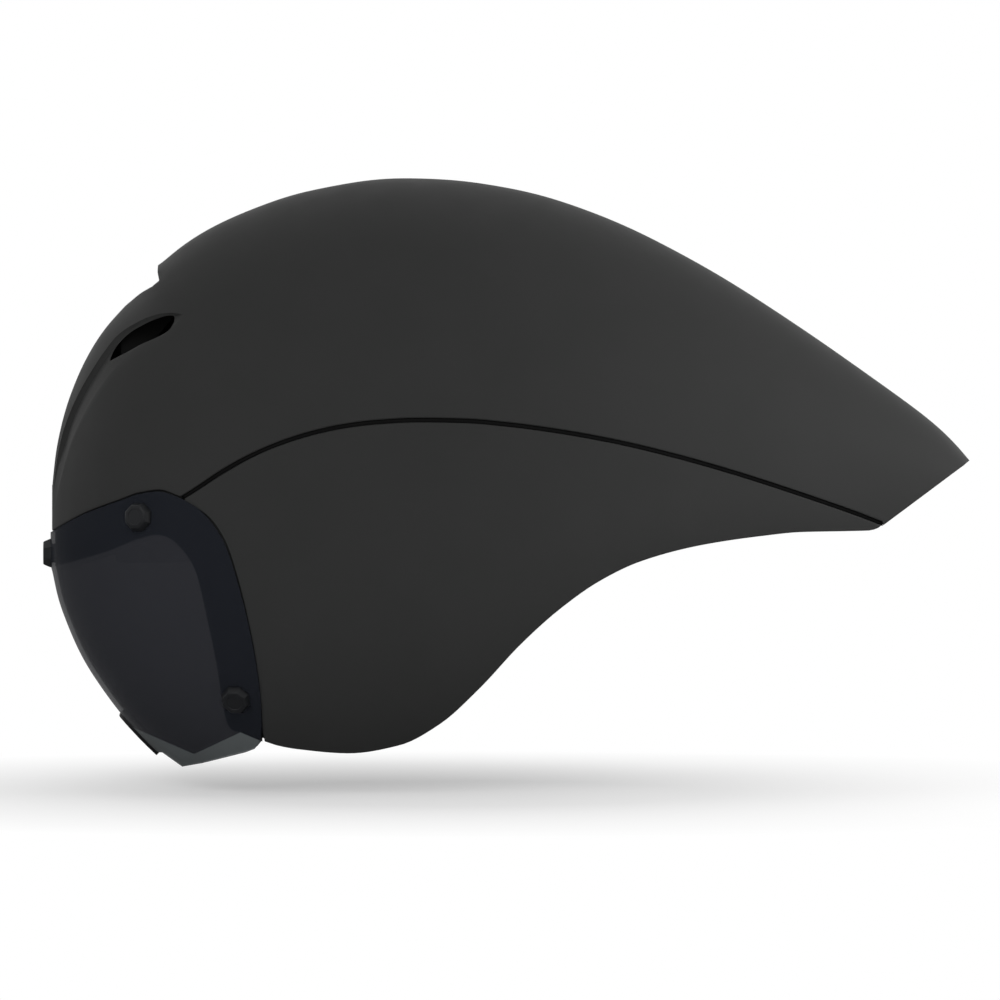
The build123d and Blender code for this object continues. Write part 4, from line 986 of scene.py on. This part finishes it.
def eased(path):
    """Path with its corners softened by averaging neighbours six times."""
    for _ in range(6):
        path = np.concatenate([path[:1], (path[:-2] + 2 * path[1:-1] + path[2:]) / 4, path[-1:]])
    return path


def weave(at):
    """Ribs along the webbing crossed by its picks."""
    return at.wave(2.6, "X") * 0.6 + at.wave(3.4, "Y") * 0.5


webbing = finish("black_webbing", (0.010, 0.010, 0.011), (0.020, 0.020, 0.021), (0.7, 0.85), 0.2 * mm, weave,
                 lambda at: at.wave(3.4, "DIAGONAL"), "UV", Sheen_Weight=0.15)
for hand, name in hands:
    for end, anchor_x, anchor_z, lean in (("front", -48 * mm, -8 * mm, -1), ("rear", 52 * mm, -6 * mm, 1)):
        reach = np.array([divider_x + lean * strap_spread - anchor_x, web_end_z - anchor_z])
        length = float(np.hypot(*reach))
        run = reach / length
        outer_y = float(form_side(np.array([anchor_x]), np.array([anchor_z]), shell_wall)[0]) - anchor_gap
        along = np.linspace(0, length, 60)
        y = np.interp(along, [0, tab_length, length], [outer_y, outer_y, divider_y]) - web_thick / 2
        path = np.stack([anchor_x + run[0] * along, hand * y, anchor_z + run[1] * along], 1)
        strap = ribbon(f"{name}_{end}_webbing", eased(path), (-run[1], 0, run[0]))
        dress(strap, webbing, "helmet", "webbing", f"{name}_{end}_strap")
chin_left = np.linspace((divider_x, -divider_y, chin_z), (divider_x, -28 * mm, chin_z), 30)
dress(ribbon("chin_webbing_left", chin_left, (1, 0, 0)), webbing, "helmet", "webbing", "chin_strap_left")
loop = np.array([(56, 0), (23, 0), (19, 1.5), (10, 2.1), (8.1, 1.3), (7.9, 0), (8.1, -1.3), (10, -2.1),
                 (18.5, -1.9), (20, -1.6)]) * mm
loop_run = run_along(loop)
along = np.linspace(0, loop_run[-1], 160)
loop_y, loop_z = (np.interp(along, loop_run, places) for places in loop.T)
chin_right = eased(np.stack([np.full(len(along), divider_x), loop_y, chin_z + loop_z], 1))
dress(ribbon("chin_webbing_right", chin_right, (1, 0, 0)), webbing, "tongue", "webbing", "chin_strap_right")

# Buckle, dividers and cam levers: black acetal mouldings with a fine satin texture.
# The tongue slides out of its socket, and each lever swings on a pin between two lugs.
acetal = finish("black_acetal", 0.012, 0.020, (0.3, 0.42), 0.01 * mm, 1800)
dress_node(acetal, "buckle_socket", "buckle_tongue", "left_strap_divider", "right_strap_divider",
           "left_divider_cam", "right_divider_cam")

# Studio: a pale floor tilted a little towards the camera, soft lamps and a long lens square to the side.
# The floor and the world are plain white to the camera further off, so no horizon shows.
floor_drop, floor_tilt, floor_size = 5 * mm, math.tan(math.radians(5)), 4.0
floor_z = cad_low[2] - floor_drop
fade_start, fade_rate, fade_shape, fade_shift = 0.05, 8.0, (0.5, 1, 0), (-0.015, 0.06, 0)
corners = np.array([(-1, -1, -floor_tilt), (1, -1, -floor_tilt), (1, 1, floor_tilt), (-1, 1, floor_tilt)])
floor = make("floor", corners * floor_size + (0, 0, floor_z), [(0, 1, 2, 3)])
pale_floor = bpy.data.materials.new("pale_floor")
pale_floor.use_nodes = True
floor_tree = pale_floor.node_tree
floor_shader = floor_tree.nodes["Principled BSDF"]
ground = Value(floor_tree, floor_shader.outputs[0])
for key, value in (("Base Color", (0.74, 0.74, 0.74, 1)), ("Roughness", 0.9), ("Specular IOR Level", 0.0)):
    floor_shader.inputs[key].default_value = value
under = Value(floor_tree, floor_tree.nodes.new("ShaderNodeTexCoord").outputs["Object"])
camera_ray = Value(floor_tree, floor_tree.nodes.new("ShaderNodeLightPath").outputs["Is Camera Ray"])
white = under.node("ShaderNodeEmission", {})
glow = under.node("ShaderNodeEmission", {0: (0.40, 0.40, 0.40, 1)})
lit = under.node("ShaderNodeAddShader", {0: ground, 1: glow})
beside = under.node("ShaderNodeVectorMath", {0: under, 1: fade_shape, 2: fade_shift},
                    operation="MULTIPLY_ADD")
far_off = under.node("ShaderNodeVectorMath", {0: beside}, 1, operation="LENGTH")
fade = ((far_off - fade_start) * fade_rate).clamped()
faded = under.node("ShaderNodeMixShader", {0: fade, 1: lit, 2: white})
floor_look = under.node("ShaderNodeMixShader", {0: camera_ray, 1: ground, 2: faded})
floor_tree.links.new(floor_look.socket, floor_tree.nodes["Material Output"].inputs["Surface"])
floor.data.materials.append(pale_floor)

world = bpy.data.worlds.new("studio")
bpy.context.scene.world = world
world.use_nodes = True
world_tree = world.node_tree
background = world_tree.nodes["Background"]
background.inputs["Color"].default_value = (0.30, 0.30, 0.30, 1)
rays = world_tree.nodes.new("ShaderNodeLightPath")
seen = Value(world_tree, rays.outputs["Is Camera Ray"])
for ray in ("Is Glossy Ray", "Is Transmission Ray"):
    seen = seen.maths("MAXIMUM", seen, Value(world_tree, rays.outputs[ray]))
world_shade = Value(world_tree, background.outputs[0])
backdrop = seen.node("ShaderNodeMixShader", {0: seen, 1: world_shade, 2: seen.node("ShaderNodeEmission", {})})
world_tree.links.new(backdrop.socket, world_tree.nodes["World Output"].inputs["Surface"])

lamp_aim = np.array([0.03, 0, 0.03])
lamps = (("key", (-0.45, -1.15, 0.70), 0.9, 3.6), ("top", (-0.05, 0.45, 1.1), 0.9, 1.9),
         ("front", (-0.24, -0.75, 0.06), 0.3, 0.16), ("rear", (0.46, -0.16, 0.16), 0.2, 0.70))
for name, place, size, energy in lamps:
    lamp = bpy.data.lights.new(name, "AREA")
    lamp.size, lamp.energy = size, energy
    stand = placed(name, lamp)
    stand.location = place
    aim = lamp_aim - np.array(place)
    tilt, heading = math.atan2(math.hypot(aim[0], aim[1]), -aim[2]), math.atan2(aim[1], aim[0])
    stand.rotation_euler = (tilt, 0, heading - math.pi / 2)

camera_distance, sensor_width, picture_width = 12.0, 36, 1000
middle_x, middle_z = (float(v) for v in side(picture_width / 2, picture_width / 2))
camera_data = bpy.data.cameras.new("camera")
camera_data.sensor_width = sensor_width
camera_data.lens = sensor_width * camera_distance / (picture_width * pixel_across)
camera_data.clip_end = 100
camera = placed("camera", camera_data)
camera.location = (middle_x, -camera_distance, middle_z)
camera.rotation_euler = (math.pi / 2, 0, 0)
bpy.context.scene.camera = camera
bpy.context.scene.view_settings.view_transform = "Standard"
